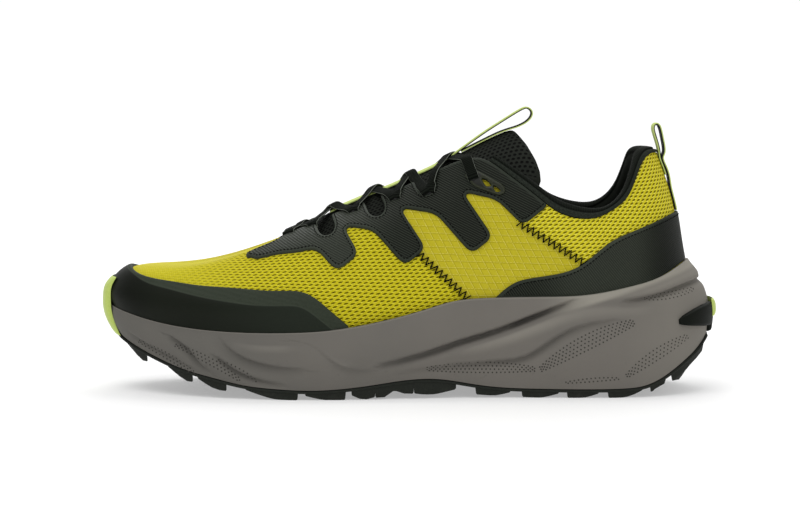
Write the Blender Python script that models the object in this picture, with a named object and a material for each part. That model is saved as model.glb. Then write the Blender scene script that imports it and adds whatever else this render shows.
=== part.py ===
"""Trail running shoe for the left foot, standing empty on its sole.

Metres, +Z up. The toe points along -X, the outer side of the foot lies along -Y,
and the tread stands on the floor at Z = 0. Tables and sizes are in millimetres.
"""
import math

import bmesh
import bpy
import numpy as np
from mathutils import Vector
from mathutils.bvhtree import BVHTree

MM = 0.001

# Sizes of the shoe
WALL = 2.0
FIT_GAP = 0.3
CUP_GAP = 0.5
COVER_GAP = 0.75
CAP_GAP = 0.95
COVER_LIFT = 1.1
SHEET_GAP = 0.4
LINING_GAP = 1.0
OVERLAY = 1.2
RIM_WIDTH = 2.2
FOOTBED_GAP = 0.35
INSOLE_THICKNESS = 3.5
INSOLE_INSET = 2.6
SHEET = 1.2
LUG_WIDTH = 15.0
LUG_SKEW = 2.5
LACE_WIDTH = 5.0
LACE_THICKNESS = 1.2
LACE_INSET = 6.0
LACE_CLEAR = 1.5
LOOP_WIDTH = 9.0
LOOP_TAPE = 1.0
BUMPER_HALF = 13.0
BUMPER_ROUND = 54.0
BUMPER_THICKNESS = 2.2
CLIP_THICKNESS = 1.5
PAD_THICKNESS = 1.4
STAY_SECTIONS = 24
CREASE = math.radians(40.0)

# Number of sections round the shoe
ROUND = 60

# Heights of the upper's rows, sole to top edge
HEIGHTS = (0.0, 0.08, 0.15, 0.22, 0.30, 0.41, 0.56, 0.77, 1.0)


def table(names, *rows):
    """Short table read by its column names."""
    return {name: np.array(column, float) for name, column in zip(names.split(), zip(*rows))}


# Edge of the last's bottom, from toe (s = 0) to heel (s = 1)
FEATHER = table(
    "s      x       y_outer  y_inner  z",
    (0.00, -143.0, 5.0, 5.0, 36.5),
    (0.06, -137.0, -12.0, 21.5, 35.0),
    (0.13, -120.5, -26.5, 32.5, 32.0),
    (0.22, -95.0, -38.0, 40.5, 29.0),
    (0.34, -58.0, -45.0, 43.8, 26.5),
    (0.48, -15.0, -42.5, 38.0, 27.0),
    (0.61, 25.0, -36.0, 31.5, 30.0),
    (0.74, 65.0, -32.5, 30.0, 33.5),
    (0.86, 102.0, -30.0, 30.0, 35.0),
    (0.95, 126.0, -17.0, 17.5, 36.0),
    (1.00, 133.0, 0.0, 0.0, 36.5),
)

# Shape of the upper's sections: share of the way to the top edge, swell and rise
SECTIONS = table(
    "s      belly_out belly_rise shoulder_run shoulder_out shoulder_rise roof_run roof_out roof_rise",
    (0.00, 3.7, 0.30, 0.035, 0.5, 0.55, 0.330, 0.0, 0.645),
    (0.06, 3.8, 0.30, 0.035, 0.5, 0.53, 0.330, 0.0, 0.645),
    (0.13, 4.0, 0.28, 0.060, 0.0, 0.51, 0.360, 0.0, 0.680),
    (0.22, 4.2, 0.26, 0.130, 0.0, 0.51, 0.510, 0.0, 0.755),
    (0.34, 4.2, 0.24, 0.140, 0.0, 0.51, 0.510, 0.0, 0.780),
    (0.48, 4.0, 0.24, 0.150, 0.0, 0.50, 0.520, 0.0, 0.785),
    (0.61, 4.0, 0.22, 0.180, 1.5, 0.47, 0.520, 0.5, 0.770),
    (0.74, 4.0, 0.28, 0.300, 4.0, 0.55, 0.650, 2.8, 0.800),
    (0.86, 4.0, 0.28, 0.300, 3.8, 0.55, 0.650, 2.4, 0.800),
    (0.95, 2.8, 0.20, 0.300, 3.2, 0.43, 0.640, 3.0, 0.710),
    (1.00, 2.3, 0.18, 0.300, 3.6, 0.40, 0.650, 4.0, 0.680),
)

# Top edge of the upper: throat from its front to the top eyelet, then the collar seam
TOP_EDGE = table(
    "s       x       y_outer  y_inner  z",
    (0.000, -62.5, 1.0, 1.0, 73.6),
    (0.050, -60.8, -5.5, 7.0, 74.6),
    (0.160, -52.0, -8.5, 9.5, 78.3),
    (0.310, -31.0, -10.5, 11.0, 87.3),
    (0.460, -4.0, -13.5, 13.5, 98.0),
    (0.560, 14.0, -16.5, 16.5, 107.3),
    (0.620, 33.0, -20.5, 20.5, 113.3),
    (0.665, 45.0, -25.5, 25.5, 107.2),
    (0.715, 60.0, -30.5, 30.0, 95.8),
    (0.760, 72.0, -33.0, 32.5, 87.3),
    (0.800, 84.0, -34.0, 33.5, 84.8),
    (0.855, 95.5, -33.0, 32.5, 88.3),
    (0.900, 104.0, -29.5, 29.5, 95.3),
    (0.925, 107.5, -26.5, 26.5, 102.5),
    (0.950, 111.5, -21.5, 21.5, 111.5),
    (0.975, 117.0, -12.0, 12.0, 115.6),
    (1.000, 120.8, 0.0, 0.0, 115.5),
)

# Top line of the padded collar, over the middle of its padding
COLLAR_TOP = table(
    "s       x       y_outer  y_inner  z",
    (0.620, 36.0, -19.0, 19.0, 117.5),
    (0.665, 46.0, -23.0, 23.0, 111.6),
    (0.715, 60.5, -27.5, 27.0, 101.4),
    (0.760, 72.0, -30.0, 29.5, 93.6),
    (0.800, 84.0, -31.0, 30.5, 90.2),
    (0.855, 96.0, -29.8, 29.3, 92.4),
    (0.900, 103.6, -26.5, 26.5, 102.0),
    (0.925, 106.8, -23.5, 23.5, 110.6),
    (0.950, 109.6, -18.5, 18.5, 117.2),
    (0.975, 113.6, -10.5, 10.5, 118.6),
    (1.000, 116.3, 0.0, 0.0, 118.4),
)

# Collar padding: share up the padded edge, or depth below it, and swell to the inside
PADDING_EDGE = table(
    "share  inside",
    (0.05, 0.0),
    (0.45, -1.5),
    (0.86, -1.4),
    (1.00, 0.2),
    (0.88, 2.6),
    (0.45, 4.4),
)
PADDING_LINING = table("v inside", (0.985, 4.0), (0.77, 3.2), (0.60, 0.8))

# Side view lines of the sole, as height over the floor
RIM_LINE = table(
    "x        z",
    (-148.0, 42.2), (-141.0, 40.2), (-130.0, 37.2), (-115.0, 34.2), (-97.0, 32.2), (-62.0, 31.5),
    (-36.0, 33.0), (-10.0, 37.8), (8.0, 42.6), (20.0, 46.0), (33.0, 47.3), (66.0, 47.8),
    (85.0, 48.7), (104.0, 52.3), (122.0, 58.0), (131.0, 62.6), (138.0, 65.0),
)
SOLE_LINE = table(
    "x        z",
    (-146.0, 28.9), (-137.0, 24.5), (-124.0, 18.9), (-108.0, 13.2), (-92.0, 9.4), (-79.0, 6.7),
    (-65.0, 5.3), (-52.0, 4.6), (-33.0, 5.2), (-17.0, 7.0), (-2.0, 9.0), (14.0, 9.2),
    (31.0, 6.5), (44.0, 5.0), (60.0, 4.4), (90.0, 4.2), (103.0, 4.5), (110.0, 5.2),
    (117.0, 7.4), (124.0, 11.2), (131.0, 16.0), (138.0, 21.2), (145.0, 28.0),
)
TREAD_LINE = table(
    "x        z",
    (-146.0, 24.4), (-136.0, 19.4), (-127.0, 15.6), (-114.0, 10.6), (-106.0, 8.0), (-94.0, 4.9),
    (-78.0, 2.4), (-64.0, 0.4), (-56.0, 0.0), (-24.0, 0.0), (-17.0, 0.8), (-12.0, 3.0),
    (-3.0, 3.4), (2.0, 2.4), (20.0, 2.2), (36.0, 1.2), (52.0, 0.4), (60.0, 0.0), (100.0, 0.0),
    (106.0, 0.4), (113.0, 1.8), (118.5, 4.4), (124.5, 6.8), (131.0, 10.6), (138.0, 15.4), (145.0, 21.4),
)

# Side of the midsole: reach of its lower edge past the last, and its swell
SOLE_FLARE = table(
    "s      foot_outer foot_inner swell",
    (0.00, 0.6, 0.6, 1.5),
    (0.06, 1.2, 1.2, 1.8),
    (0.13, 3.0, 3.0, 2.2),
    (0.22, 5.0, 5.0, 2.6),
    (0.34, 6.2, 6.8, 3.0),
    (0.48, 6.2, 6.0, 3.6),
    (0.61, 7.2, 6.0, 4.0),
    (0.74, 10.0, 9.0, 4.4),
    (0.86, 12.0, 11.0, 4.6),
    (0.95, 12.8, 12.4, 4.6),
    (1.00, 12.8, 12.8, 4.6),
)

# Flowing creases and ridges of the midsole's side
SWEEP_GROOVE = table(
    "x      z",
    (75.0, 45.7), (63.0, 42.0), (51.5, 37.2), (37.4, 32.0), (23.3, 27.8), (9.2, 23.0), (-14.3, 16.9),
)
HEEL_RIDGE = table(
    "x z",
    (130.0, 49.0), (112.7, 46.5), (98.6, 44.0), (79.8, 39.0), (61.0, 32.0), (40.0, 23.0),
)
HEEL_CREASE = table("x z", (146.0, 53.0), (132.0, 56.5), (116.0, 53.0), (98.0, 50.5))
FRONT_CREASE = table("x z", (-115.5, 30.1), (-99.0, 21.6), (-77.8, 12.2), (-56.7, 8.4))
BALL_CREASE = table("x z", (-92.0, 31.0), (-73.0, 24.0), (-52.0, 22.0), (-37.8, 14.6))
FLOWS = (
    ("sweep groove", SWEEP_GROOVE, -3.4, 4.8),
    ("heel ridge", HEEL_RIDGE, 1.8, 5.5),
    ("heel crease", HEEL_CREASE, -1.6, 3.0),
    ("front crease", FRONT_CREASE, -1.8, 4.0),
    ("ball crease", BALL_CREASE, -1.8, 4.0),
)

# Side view edges of the overlays
CAP_EDGE = table(
    "x        z",
    (-150.0, 72.0), (-140.0, 61.8), (-135.0, 58.4), (-126.0, 55.5), (-115.0, 54.1), (-101.0, 52.6),
    (-85.0, 51.9), (-62.0, 51.0), (-54.0, 51.0), (-47.5, 49.4), (-39.0, 43.3), (-29.0, 34.6),
)
COUNTER_EDGE = table(
    "x        z",
    (40.5, 47.4), (43.5, 50.2), (50.9, 55.0), (57.0, 56.6), (71.4, 59.0), (79.0, 61.6),
    (86.0, 66.3), (94.2, 73.0), (106.0, 78.6), (118.0, 83.0), (131.0, 87.4), (140.0, 89.0),
)

# Eyestay: reach ahead of the throat, and its fingers with round ends seen from the side
STAY_THROAT = -60.0
STAY_TIP = table(
    "x      inner_x reach",
    (-63.0, -59.0, 15.5), (-71.8, -62.4, 18.5), (-77.6, -65.4, 20.5), (-79.2, -66.8, 22.5),
    (-78.5, -66.2, 24.5), (-75.5, -64.0, 27.0), (-60.0, -56.0, 34.0), (-48.0, -46.0, 80.0),
)
FINGERS = table(
    "tip_x tip_z half length",
    (-33.0, 68.5, 6.6, 9.0),
    (-1.0, 71.0, 6.6, 17.0),
    (31.0, 76.5, 6.6, 20.0),
    (56.0, 92.5, 8.5, 10.0),
)
FINGER_SLANT = math.radians(52.0)
NOTCHES = table("x z", (-42.0, 83.5), (-18.0, 92.6), (6.0, 103.0))
NOTCH_HALF = 4.2
NOTCH_DEPTH = 8.0

# Tongue: crown line, half width, fall of its edges and padding
TONGUE = table(
    "x       z      half  fall  thick",
    (-76.0, 65.4, 14.0, 4.5, 2.4),
    (-62.0, 70.0, 17.0, 8.5, 3.2),
    (-40.0, 83.6, 19.0, 12.5, 4.2),
    (-17.0, 94.6, 20.0, 14.5, 4.8),
    (11.0, 108.0, 21.0, 17.5, 5.5),
    (33.0, 119.6, 20.5, 20.5, 6.4),
    (43.0, 124.4, 19.8, 24.5, 6.2),
    (48.5, 126.3, 19.2, 27.5, 5.4),
    (51.2, 125.9, 18.6, 28.5, 3.8),
    (52.8, 124.4, 18.0, 28.5, 1.6),
)
TONGUE_DROP = table(
    "fall  run   drop",
    (0.0, 0.0, 0.0), (6.2, 3.9, 4.8), (14.0, 7.8, 11.6), (19.7, 9.7, 16.9), (24.5, 10.2, 21.7),
    (27.6, 9.3, 24.6), (33.0, 7.4, 29.6),
)
TONGUE_SLOPE = math.radians(26.0)

# Eyelet rows up the throat
LACE_ROWS = (0.150, 0.240, 0.350, 0.455, 0.545, 0.615)
LACE_LOW_ROWS = 4
LACE_TOP_INSET = 10.0

# Pull loops as lines in the middle plane
TONGUE_LOOP = table(
    "x       z",
    (-39.0, 84.95), (-17.0, 95.45), (11.0, 108.9), (22.0, 115.2), (34.1, 123.9), (44.0, 130.4),
    (53.4, 136.2), (57.4, 137.4), (59.4, 135.4), (58.2, 132.0), (53.5, 129.2), (47.4, 127.35),
    (42.0, 125.3), (36.0, 122.5), (30.5, 119.7),
)
HEEL_LOOP = table(
    "x       z",
    (119.2, 118.95), (119.0, 123.0), (119.6, 127.0), (121.0, 129.2), (122.6, 127.6), (123.2, 122.0),
)
HEEL_STRAND = (113.0, 88.2)

# Toe bumper: front line of the toe it covers
BUMPER_LINE = table(
    "z x", (55.0, -146.5), (51.0, -148.7), (45.0, -149.4), (39.0, -149.1), (33.0, -147.6), (26.2, -144.7),
)

# Heel clip: height of its lower and upper edge, by reach round from the middle of the heel
CLIP = table(
    "reach   low    high",
    (0.000, 28.2, 42.0),
    (0.006, 28.4, 43.0),
    (0.008, 31.6, 43.0),
    (0.016, 32.2, 42.4),
    (0.023, 32.8, 41.2),
    (0.030, 33.4, 39.4),
    (0.0335, 33.8, 38.2),
    (0.0365, 34.4, 36.6),
)
PAD_REACH = 0.0075
PAD_LOW = 36.0
PAD_HIGH = 44.5

# Top eyelet plates on the side view
PLATE = 0.8
PLATE_EDGE = table(
    "x z",
    (26.5, 105.5), (31.0, 107.0), (44.5, 100.5), (46.0, 97.5), (43.5, 95.0), (31.0, 98.5), (26.0, 102.0),
)
PLATE_HOLES = table("x z", (36.5, 101.6), (42.0, 98.4))
PLATE_HOLE_X = 1.5
PLATE_HOLE_Z = 0.9

# Lugs: long side pieces by their ends, and the middle ones by centre and half size
SIDE_LUGS = table(
    "start   end",
    (-138.0, -126.5), (-116.5, -103.5), (-101.5, -87.0), (-78.5, -53.0), (-50.0, -30.5), (-28.0, -16.5),
    (-13.0, -1.0), (1.5, 22.0), (31.0, 48.0), (53.0, 71.0), (74.5, 90.0), (94.0, 111.0),
    (114.5, 122.0), (125.2, 142.5),
)
MIDDLE_LUGS = table(
    "x      y     length width",
    (-116.0, 2.0, 11.0, 15.0), (-94.0, -12.0, 11.0, 13.0), (-94.0, 15.0, 11.0, 13.0),
    (-70.0, -15.0, 12.0, 13.0), (-70.0, 15.0, 12.0, 13.0), (-44.0, -15.0, 12.0, 13.0),
    (-44.0, 14.0, 12.0, 13.0), (-19.0, 0.0, 12.0, 16.0), (40.0, 0.0, 12.0, 14.0),
    (64.0, 0.0, 12.0, 17.0), (86.0, 0.0, 12.0, 17.0), (108.0, 0.0, 12.0, 16.0),
)


def spline(knots, values, at, closed=False):
    """Smooth curve through values at the knots; a closed one repeats after 1."""
    knots = np.asarray(knots, float)
    values = np.asarray(values, float).reshape(len(knots), -1)
    at = np.atleast_1d(np.asarray(at, float))
    if closed:
        knots = np.concatenate([knots - 1, knots, knots + 1])
        values = np.tile(values, (3, 1))
        at = np.mod(at, 1.0)
    else:
        at = np.clip(at, knots[0], knots[-1])
    step = np.diff(knots)
    slope = np.diff(values, axis=0) / step[:, None]
    matrix = np.eye(len(knots))
    right = np.zeros_like(values)
    for i in range(1, len(knots) - 1):
        matrix[i, i - 1:i + 2] = step[i - 1], 2 * (step[i - 1] + step[i]), step[i]
        right[i] = 6 * (slope[i] - slope[i - 1])
    bend = np.linalg.solve(matrix, right)
    i = np.clip(np.searchsorted(knots, at, "right") - 1, 0, len(knots) - 2)
    width = step[i][:, None]
    b = (at - knots[i])[:, None] / width
    a = 1 - b
    swing = ((a**3 - a) * bend[i] + (b**3 - b) * bend[i + 1]) * width**2 / 6
    return a * values[i] + b * values[i + 1] + swing


def height(line, x):
    """Height of a side view line at the given places along the shoe."""
    x = np.asarray(x, float)
    return spline(line["x"], line["z"], x.ravel())[:, 0].reshape(x.shape)


def around(rows, outer, inner, u):
    """One column read round the whole shoe: toe, outer side, heel, inner side."""
    half = rows["s"] / 2
    knots = np.concatenate([half, 1 - half[-2:0:-1]])
    values = np.concatenate([rows[outer], rows[inner][-2:0:-1]])
    return spline(knots, values, u, closed=True)[:, 0]


def loop_points(rows, u):
    """Points of a line that runs round the whole shoe."""
    columns = (("x", "x"), ("y_outer", "y_inner"), ("z", "z"))
    return np.stack([around(rows, outer, inner, u) for outer, inner in columns], 1)


def outward(u):
    """Level direction that points away from the last's bottom edge."""
    along = loop_points(FEATHER, u + 0.0005) - loop_points(FEATHER, u - 0.0005)
    normal = np.stack([along[:, 1], -along[:, 0], np.zeros(len(along))], 1)
    return normal / np.linalg.norm(normal, axis=1, keepdims=True)


def guide_points(u):
    """Five points of each section: bottom edge, belly, shoulder, roof and top edge."""
    foot = loop_points(FEATHER, u)
    top = loop_points(TOP_EDGE, u)
    away = outward(u)

    def column(name):
        return around(SECTIONS, name, name, u)

    def level(run, out, rise):
        point = foot + (top - foot) * run[:, None] + away * out[:, None]
        point[:, 2] = foot[:, 2] + (top - foot)[:, 2] * rise
        return point

    belly = level(np.zeros(len(foot)), column("belly_out"), column("belly_rise"))
    shoulder = level(column("shoulder_run"), column("shoulder_out"), column("shoulder_rise"))
    roof = level(column("roof_run"), column("roof_out"), column("roof_rise"))
    return np.stack([foot, belly, shoulder, roof, top], 1)


def upper_points(u, v):
    """Outside of the upper at loop places u and heights v, sole (0) to top edge (1)."""
    guides = guide_points(u)
    v = np.broadcast_to(v, (len(guides), np.shape(v)[-1]))
    result = np.empty(v.shape + (3,))
    fine = np.linspace(0, 1, 81)
    for k, guide in enumerate(guides):
        knots = np.append(0, np.cumsum(np.linalg.norm(np.diff(guide, axis=0), axis=1)))
        curve = spline(knots / knots[-1], guide, fine)
        length = np.append(0, np.cumsum(np.linalg.norm(np.diff(curve, axis=0), axis=1)))
        for axis in range(3):
            result[k, :, axis] = np.interp(v[k], length / length[-1], curve[:, axis])
    return result


def section_lengths(u):
    """Length of each section of the upper, from sole to top edge."""
    points = upper_points(u, np.linspace(0, 1, 41)[None, :])
    return np.linalg.norm(np.diff(points, axis=1), axis=2).sum(axis=1)


def upper_normals(u, v):
    """Directions that point straight out of the upper."""
    v = np.broadcast_to(v, (len(u), np.shape(v)[-1]))
    along = upper_points(u + 0.003, v) - upper_points(u - 0.003, v)
    up = upper_points(u, np.clip(v + 0.02, 0, 1)) - upper_points(u, np.clip(v - 0.02, 0, 1))
    normal = np.cross(along, up)
    return normal / np.linalg.norm(normal, axis=2, keepdims=True)


def skin(u, v, offset):
    """The upper's outside moved out by an offset."""
    return upper_points(u, v) + upper_normals(u, v) * offset


def crossing(u, line, lift=0.0):
    """Height v at which each section passes a line drawn on the side view."""
    v = np.linspace(0, 1, 201)
    points = upper_points(u, v[None, :])
    over = points[..., 2] - height(line, points[..., 0]) - lift
    result = np.ones(len(u))
    for k, row in enumerate(over):
        above = np.nonzero(row > 0)[0]
        if len(above) and above[0] > 0:
            i = above[0]
            result[k] = v[i - 1] + (v[i] - v[i - 1]) * row[i - 1] / (row[i - 1] - row[i])
    return result


def relief(x, z):
    """Rise and fall of the midsole's side, seen square on."""
    total = np.zeros_like(x)
    for _, rows, depth, width in FLOWS:
        knots = np.linspace(0, 1, len(rows["x"]))
        path = spline(knots, np.stack([rows["x"], rows["z"]], 1), np.linspace(0, 1, 60))
        distance = (x[..., None] - path[:, 0]) ** 2 + (z[..., None] - path[:, 1]) ** 2
        nearest = distance.argmin(axis=-1)
        fade = np.sin(math.pi * (nearest + 1) / 61) ** 0.6
        total += depth * fade * np.exp(-distance.min(axis=-1) / width**2)
    return total


def sole_edge(u, reach=0.0):
    """Lower edge of the midsole, level outline only."""
    foot = around(SOLE_FLARE, "foot_outer", "foot_inner", u)
    edge = loop_points(FEATHER, u) + outward(u) * (foot + reach)[:, None]
    edge[:, 2] = height(SOLE_LINE, edge[:, 0])
    return edge


def sole_side(u, share):
    """Outside of the midsole, from its rim (share 0) to its lower edge (share 1)."""
    rim_v = crossing(u, RIM_LINE)
    away = outward(u)
    rim = upper_points(u, rim_v[:, None])[:, 0] + away * (CUP_GAP + RIM_WIDTH)
    edge = sole_edge(u)
    share = np.asarray(share)[None, :, None]
    swell = around(SOLE_FLARE, "swell", "swell", u)[:, None, None]
    points = rim[:, None] * (1 - share) + edge[:, None] * share
    points = points + away[:, None] * swell * np.sin(math.pi * share)
    waves = relief(points[..., 0], points[..., 2]) * np.sin(math.pi * share[..., 0]) ** 0.5
    return points + away[:, None] * waves[..., None]


def slab(outer, inner, closed=False):
    """Solid between two matching grids of points."""
    n, m = outer.shape[:2]
    spans = n if closed else n - 1

    def front(i, j):
        return (i % n) * m + j

    def back(i, j):
        return n * m + (i % n) * m + j

    faces = []
    for i in range(spans):
        for j in range(m - 1):
            faces.append((front(i, j), front(i + 1, j), front(i + 1, j + 1)))
            faces.append((front(i, j), front(i + 1, j + 1), front(i, j + 1)))
            faces.append((back(i, j), back(i + 1, j + 1), back(i + 1, j)))
            faces.append((back(i, j), back(i, j + 1), back(i + 1, j + 1)))
        faces.append((front(i, 0), back(i, 0), back(i + 1, 0), front(i + 1, 0)))
        faces.append((front(i, m - 1), front(i + 1, m - 1), back(i + 1, m - 1), back(i, m - 1)))
    if not closed:
        for j in range(m - 1):
            faces.append((front(0, j), front(0, j + 1), back(0, j + 1), back(0, j)))
            faces.append((front(n - 1, j), back(n - 1, j), back(n - 1, j + 1), front(n - 1, j + 1)))
    return np.concatenate([outer.reshape(-1, 3), inner.reshape(-1, 3)]), faces


def ring_solid(rings, top_height, bottom_height, columns=3):
    """Solid of stacked loops; its two ends are closed by rows from side to side."""
    n = len(rings[0])
    points = [np.asarray(ring) for ring in rings]
    faces = []
    for k in range(len(rings) - 1):
        for i in range(n):
            j = (i + 1) % n
            faces.append((k * n + i, k * n + j, (k + 1) * n + j, (k + 1) * n + i))
    count = len(rings) * n
    for first, level in ((0, top_height), ((len(rings) - 1) * n, bottom_height)):
        ring = np.concatenate(points)[first:first + n]
        rows = [[first]]
        for i in range(1, n // 2):
            share = np.linspace(0, 1, columns + 2)[1:-1, None]
            across = ring[i] * (1 - share) + ring[n - i] * share
            if level is not None:
                across[:, 2] = level(across)
            points.append(across)
            rows.append([first + i] + list(range(count, count + columns)) + [first + n - i])
            count += columns
        rows.append([first + n // 2])
        for low, high in zip(rows, rows[1:]):
            low = low * len(high) if len(low) == 1 else low
            high = high * len(low) if len(high) == 1 else high
            for k in range(len(low) - 1):
                corners = (low[k], low[k + 1], high[k + 1], high[k])
                faces.append(tuple(dict.fromkeys(corners)))
    return np.concatenate(points), faces


def prism(outline, y_near, y_far):
    """Straight block with an outline drawn on the side view."""
    n = len(outline)
    near = [(x, y_near, z) for x, z in outline]
    far = [(x, y_far, z) for x, z in outline]
    faces = [tuple(range(n)), tuple(reversed(range(n, 2 * n)))]
    for i in range(n):
        j = (i + 1) % n
        faces.append((i, i + n, j + n, j))
    return np.array(near + far), faces


def ribbon(path, wide, thick):
    """Flat tape along a path in the middle plane, its inner face on the path."""
    path = np.asarray(path)
    along = np.gradient(path, axis=0)
    along /= np.linalg.norm(along, axis=1, keepdims=True)
    normal = np.stack([-along[:, 1], along[:, 0]], 1)
    outer = np.zeros((len(path), 2, 3))
    inner = np.zeros((len(path), 2, 3))
    for j, y in enumerate((-wide / 2, wide / 2)):
        inner[:, j] = np.stack([path[:, 0], np.full(len(path), y), path[:, 1]], 1)
        raised = path + normal * thick
        outer[:, j] = np.stack([raised[:, 0], np.full(len(path), y), raised[:, 1]], 1)
    return slab(outer, inner)


def make(name, shape, home, colour=None, roughness=0.6):
    """Mesh object from points in millimetres and faces."""
    points, faces = shape
    mesh = bpy.data.meshes.new(name)
    mesh.from_pydata([tuple(p) for p in np.asarray(points) * MM], [], faces)
    form = bmesh.new()
    form.from_mesh(mesh)
    bmesh.ops.recalc_face_normals(form, faces=form.faces)
    form.to_mesh(mesh)
    form.free()
    mesh.shade_smooth()
    mesh.set_sharp_from_angle(angle=CREASE)
    item = bpy.data.objects.new(name, mesh)
    home.objects.link(item)
    if colour is None:
        item.hide_render = True
        item.display_type = "WIRE"
        return item
    material = bpy.data.materials.new(name)
    material.use_nodes = True
    surface = material.node_tree.nodes["Principled BSDF"]
    surface.inputs["Base Color"].default_value = (*colour, 1.0)
    surface.inputs["Roughness"].default_value = roughness
    mesh.materials.append(material)
    return item


def combine(item, other, operation):
    """Boolean of one object with another."""
    step = item.modifiers.new(other.name, "BOOLEAN")
    step.operation = operation
    step.solver = "EXACT"
    step.object = other


for old in list(bpy.data.objects):
    bpy.data.objects.remove(old, do_unlink=True)
shoe = bpy.data.collections.new("trail_shoe")
cutters = bpy.data.collections.new("cutters")
bpy.context.scene.collection.children.link(shoe)
bpy.context.scene.collection.children.link(cutters)

YELLOW = (0.45, 0.40, 0.04)
BLACK = (0.018, 0.021, 0.016)
GREY = (0.13, 0.125, 0.115)
LIME = (0.48, 0.57, 0.16)

turn = np.arange(ROUND) / ROUND
turn = turn - 0.018 * np.sin(4 * math.pi * turn)
rim = crossing(turn, RIM_LINE)

# Upper: one hollow shell of even wall, open at the throat and collar and underneath
upper_grid = (turn, np.array(HEIGHTS)[None, :])
upper = make("upper", slab(skin(*upper_grid, 0.0), skin(*upper_grid, -WALL), True), shoe, YELLOW)

# Midsole: foam cup with a footbed, a rim round the upper and a flowing side
feet = loop_points(FEATHER, turn)
bed_edge = feet + outward(turn) * CUP_GAP
bed_edge[:, 2] -= FOOTBED_GAP
cup = [skin(turn, (rim * share)[:, None], CUP_GAP)[:, 0] for share in (0.25, 0.6, 1.0)]
side = sole_side(turn, [0.0, 0.1, 0.21, 0.32, 0.43, 0.54, 0.65, 0.76, 0.88, 1.0])
midsole_rings = [bed_edge] + cup + [side[:, j] for j in range(side.shape[1])]
make(
    "midsole",
    ring_solid(midsole_rings, None, lambda p: height(SOLE_LINE, p[:, 0]), 2),
    shoe, GREY, 0.75,
)

# Insole: flat foam that lies on the footbed inside the upper
inset = feet - outward(turn) * INSOLE_INSET
raised = inset + (0, 0, INSOLE_THICKNESS)
make("insole", ring_solid([raised, inset], None, None, 1), shoe, BLACK, 0.9)


def below(points, depth):
    """Points moved square off the sole line by a depth."""
    slope = (height(SOLE_LINE, points[:, 0] + 0.5) - height(SOLE_LINE, points[:, 0] - 0.5))
    drop = np.stack([slope, np.zeros(len(points)), -np.ones(len(points))], 1)
    return points + drop / np.linalg.norm(drop, axis=1, keepdims=True) * depth


def tread_block(corners):
    """Lug from inside the rubber sheet down to the tread line."""
    corners = np.asarray(corners, float)
    top = below(np.column_stack([corners, height(SOLE_LINE, corners[:, 0])]), SHEET_GAP + SHEET / 2)
    low = np.column_stack([corners, np.maximum(height(TREAD_LINE, corners[:, 0]), 0.0)])
    n = len(corners)
    faces = [tuple(range(n)), tuple(reversed(range(n, 2 * n)))]
    for i in range(n):
        j = (i + 1) % n
        faces.append((i, i + n, j + n, j))
    return np.concatenate([top, low]), faces


def outline_width(x, outer_side):
    """Reach of the sole's lower edge at a place along it."""
    half = np.linspace(0.01, 0.49, 160)
    edge = sole_edge(half if outer_side else 1 - half, -0.4)
    return np.interp(x, edge[:, 0], edge[:, 1])


# Outsole: thin rubber sheet under the midsole with lugs along its sides and middle
edge = sole_edge(turn)
sheet_top = below(edge, SHEET_GAP)
sheet_low = below(edge, SHEET_GAP + SHEET)


def sheet_height(depth):
    """Height of one face of the rubber sheet."""
    def level(points):
        flat = np.column_stack([points[:, :2], height(SOLE_LINE, points[:, 0])])
        return below(flat, depth)[:, 2]
    return level


outsole = make(
    "outsole",
    ring_solid([sheet_top, sheet_low], sheet_height(SHEET_GAP), sheet_height(SHEET_GAP + SHEET), 2),
    shoe, BLACK, 0.8,
)
blocks = []
for start, end in zip(SIDE_LUGS["start"], SIDE_LUGS["end"]):
    for outer_side, inwards in ((True, 1), (False, -1)):
        along = np.array([start, (start + end) / 2, end])
        reach = outline_width(along, outer_side)
        ring = [(x, y) for x, y in zip(along, reach)]
        deep = np.minimum(LUG_WIDTH, 0.72 * np.abs(reach))
        ring += [(end - LUG_SKEW, reach[2] + inwards * deep[2] * 0.8)]
        ring += [(start + LUG_SKEW * 0.4, reach[0] + inwards * deep[0])]
        blocks.append(tread_block(ring))
for x, y, length, width in zip(*(MIDDLE_LUGS[name] for name in ("x", "y", "length", "width"))):
    half_x, half_y = length / 2, width / 2
    point = half_x * 0.55
    blocks.append(tread_block([
        (x - half_x, y - half_y), (x - half_x - point, y), (x - half_x, y + half_y),
        (x + half_x, y + half_y), (x + half_x - point, y), (x + half_x, y - half_y),
    ]))
points, faces, count = [], [], 0
for block_points, block_faces in blocks:
    points.append(block_points)
    faces += [tuple(i + count for i in face) for face in block_faces]
    count += len(block_points)
lugs = make("lugs", (np.concatenate(points), faces), cutters)
combine(outsole, lugs, "UNION")

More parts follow.
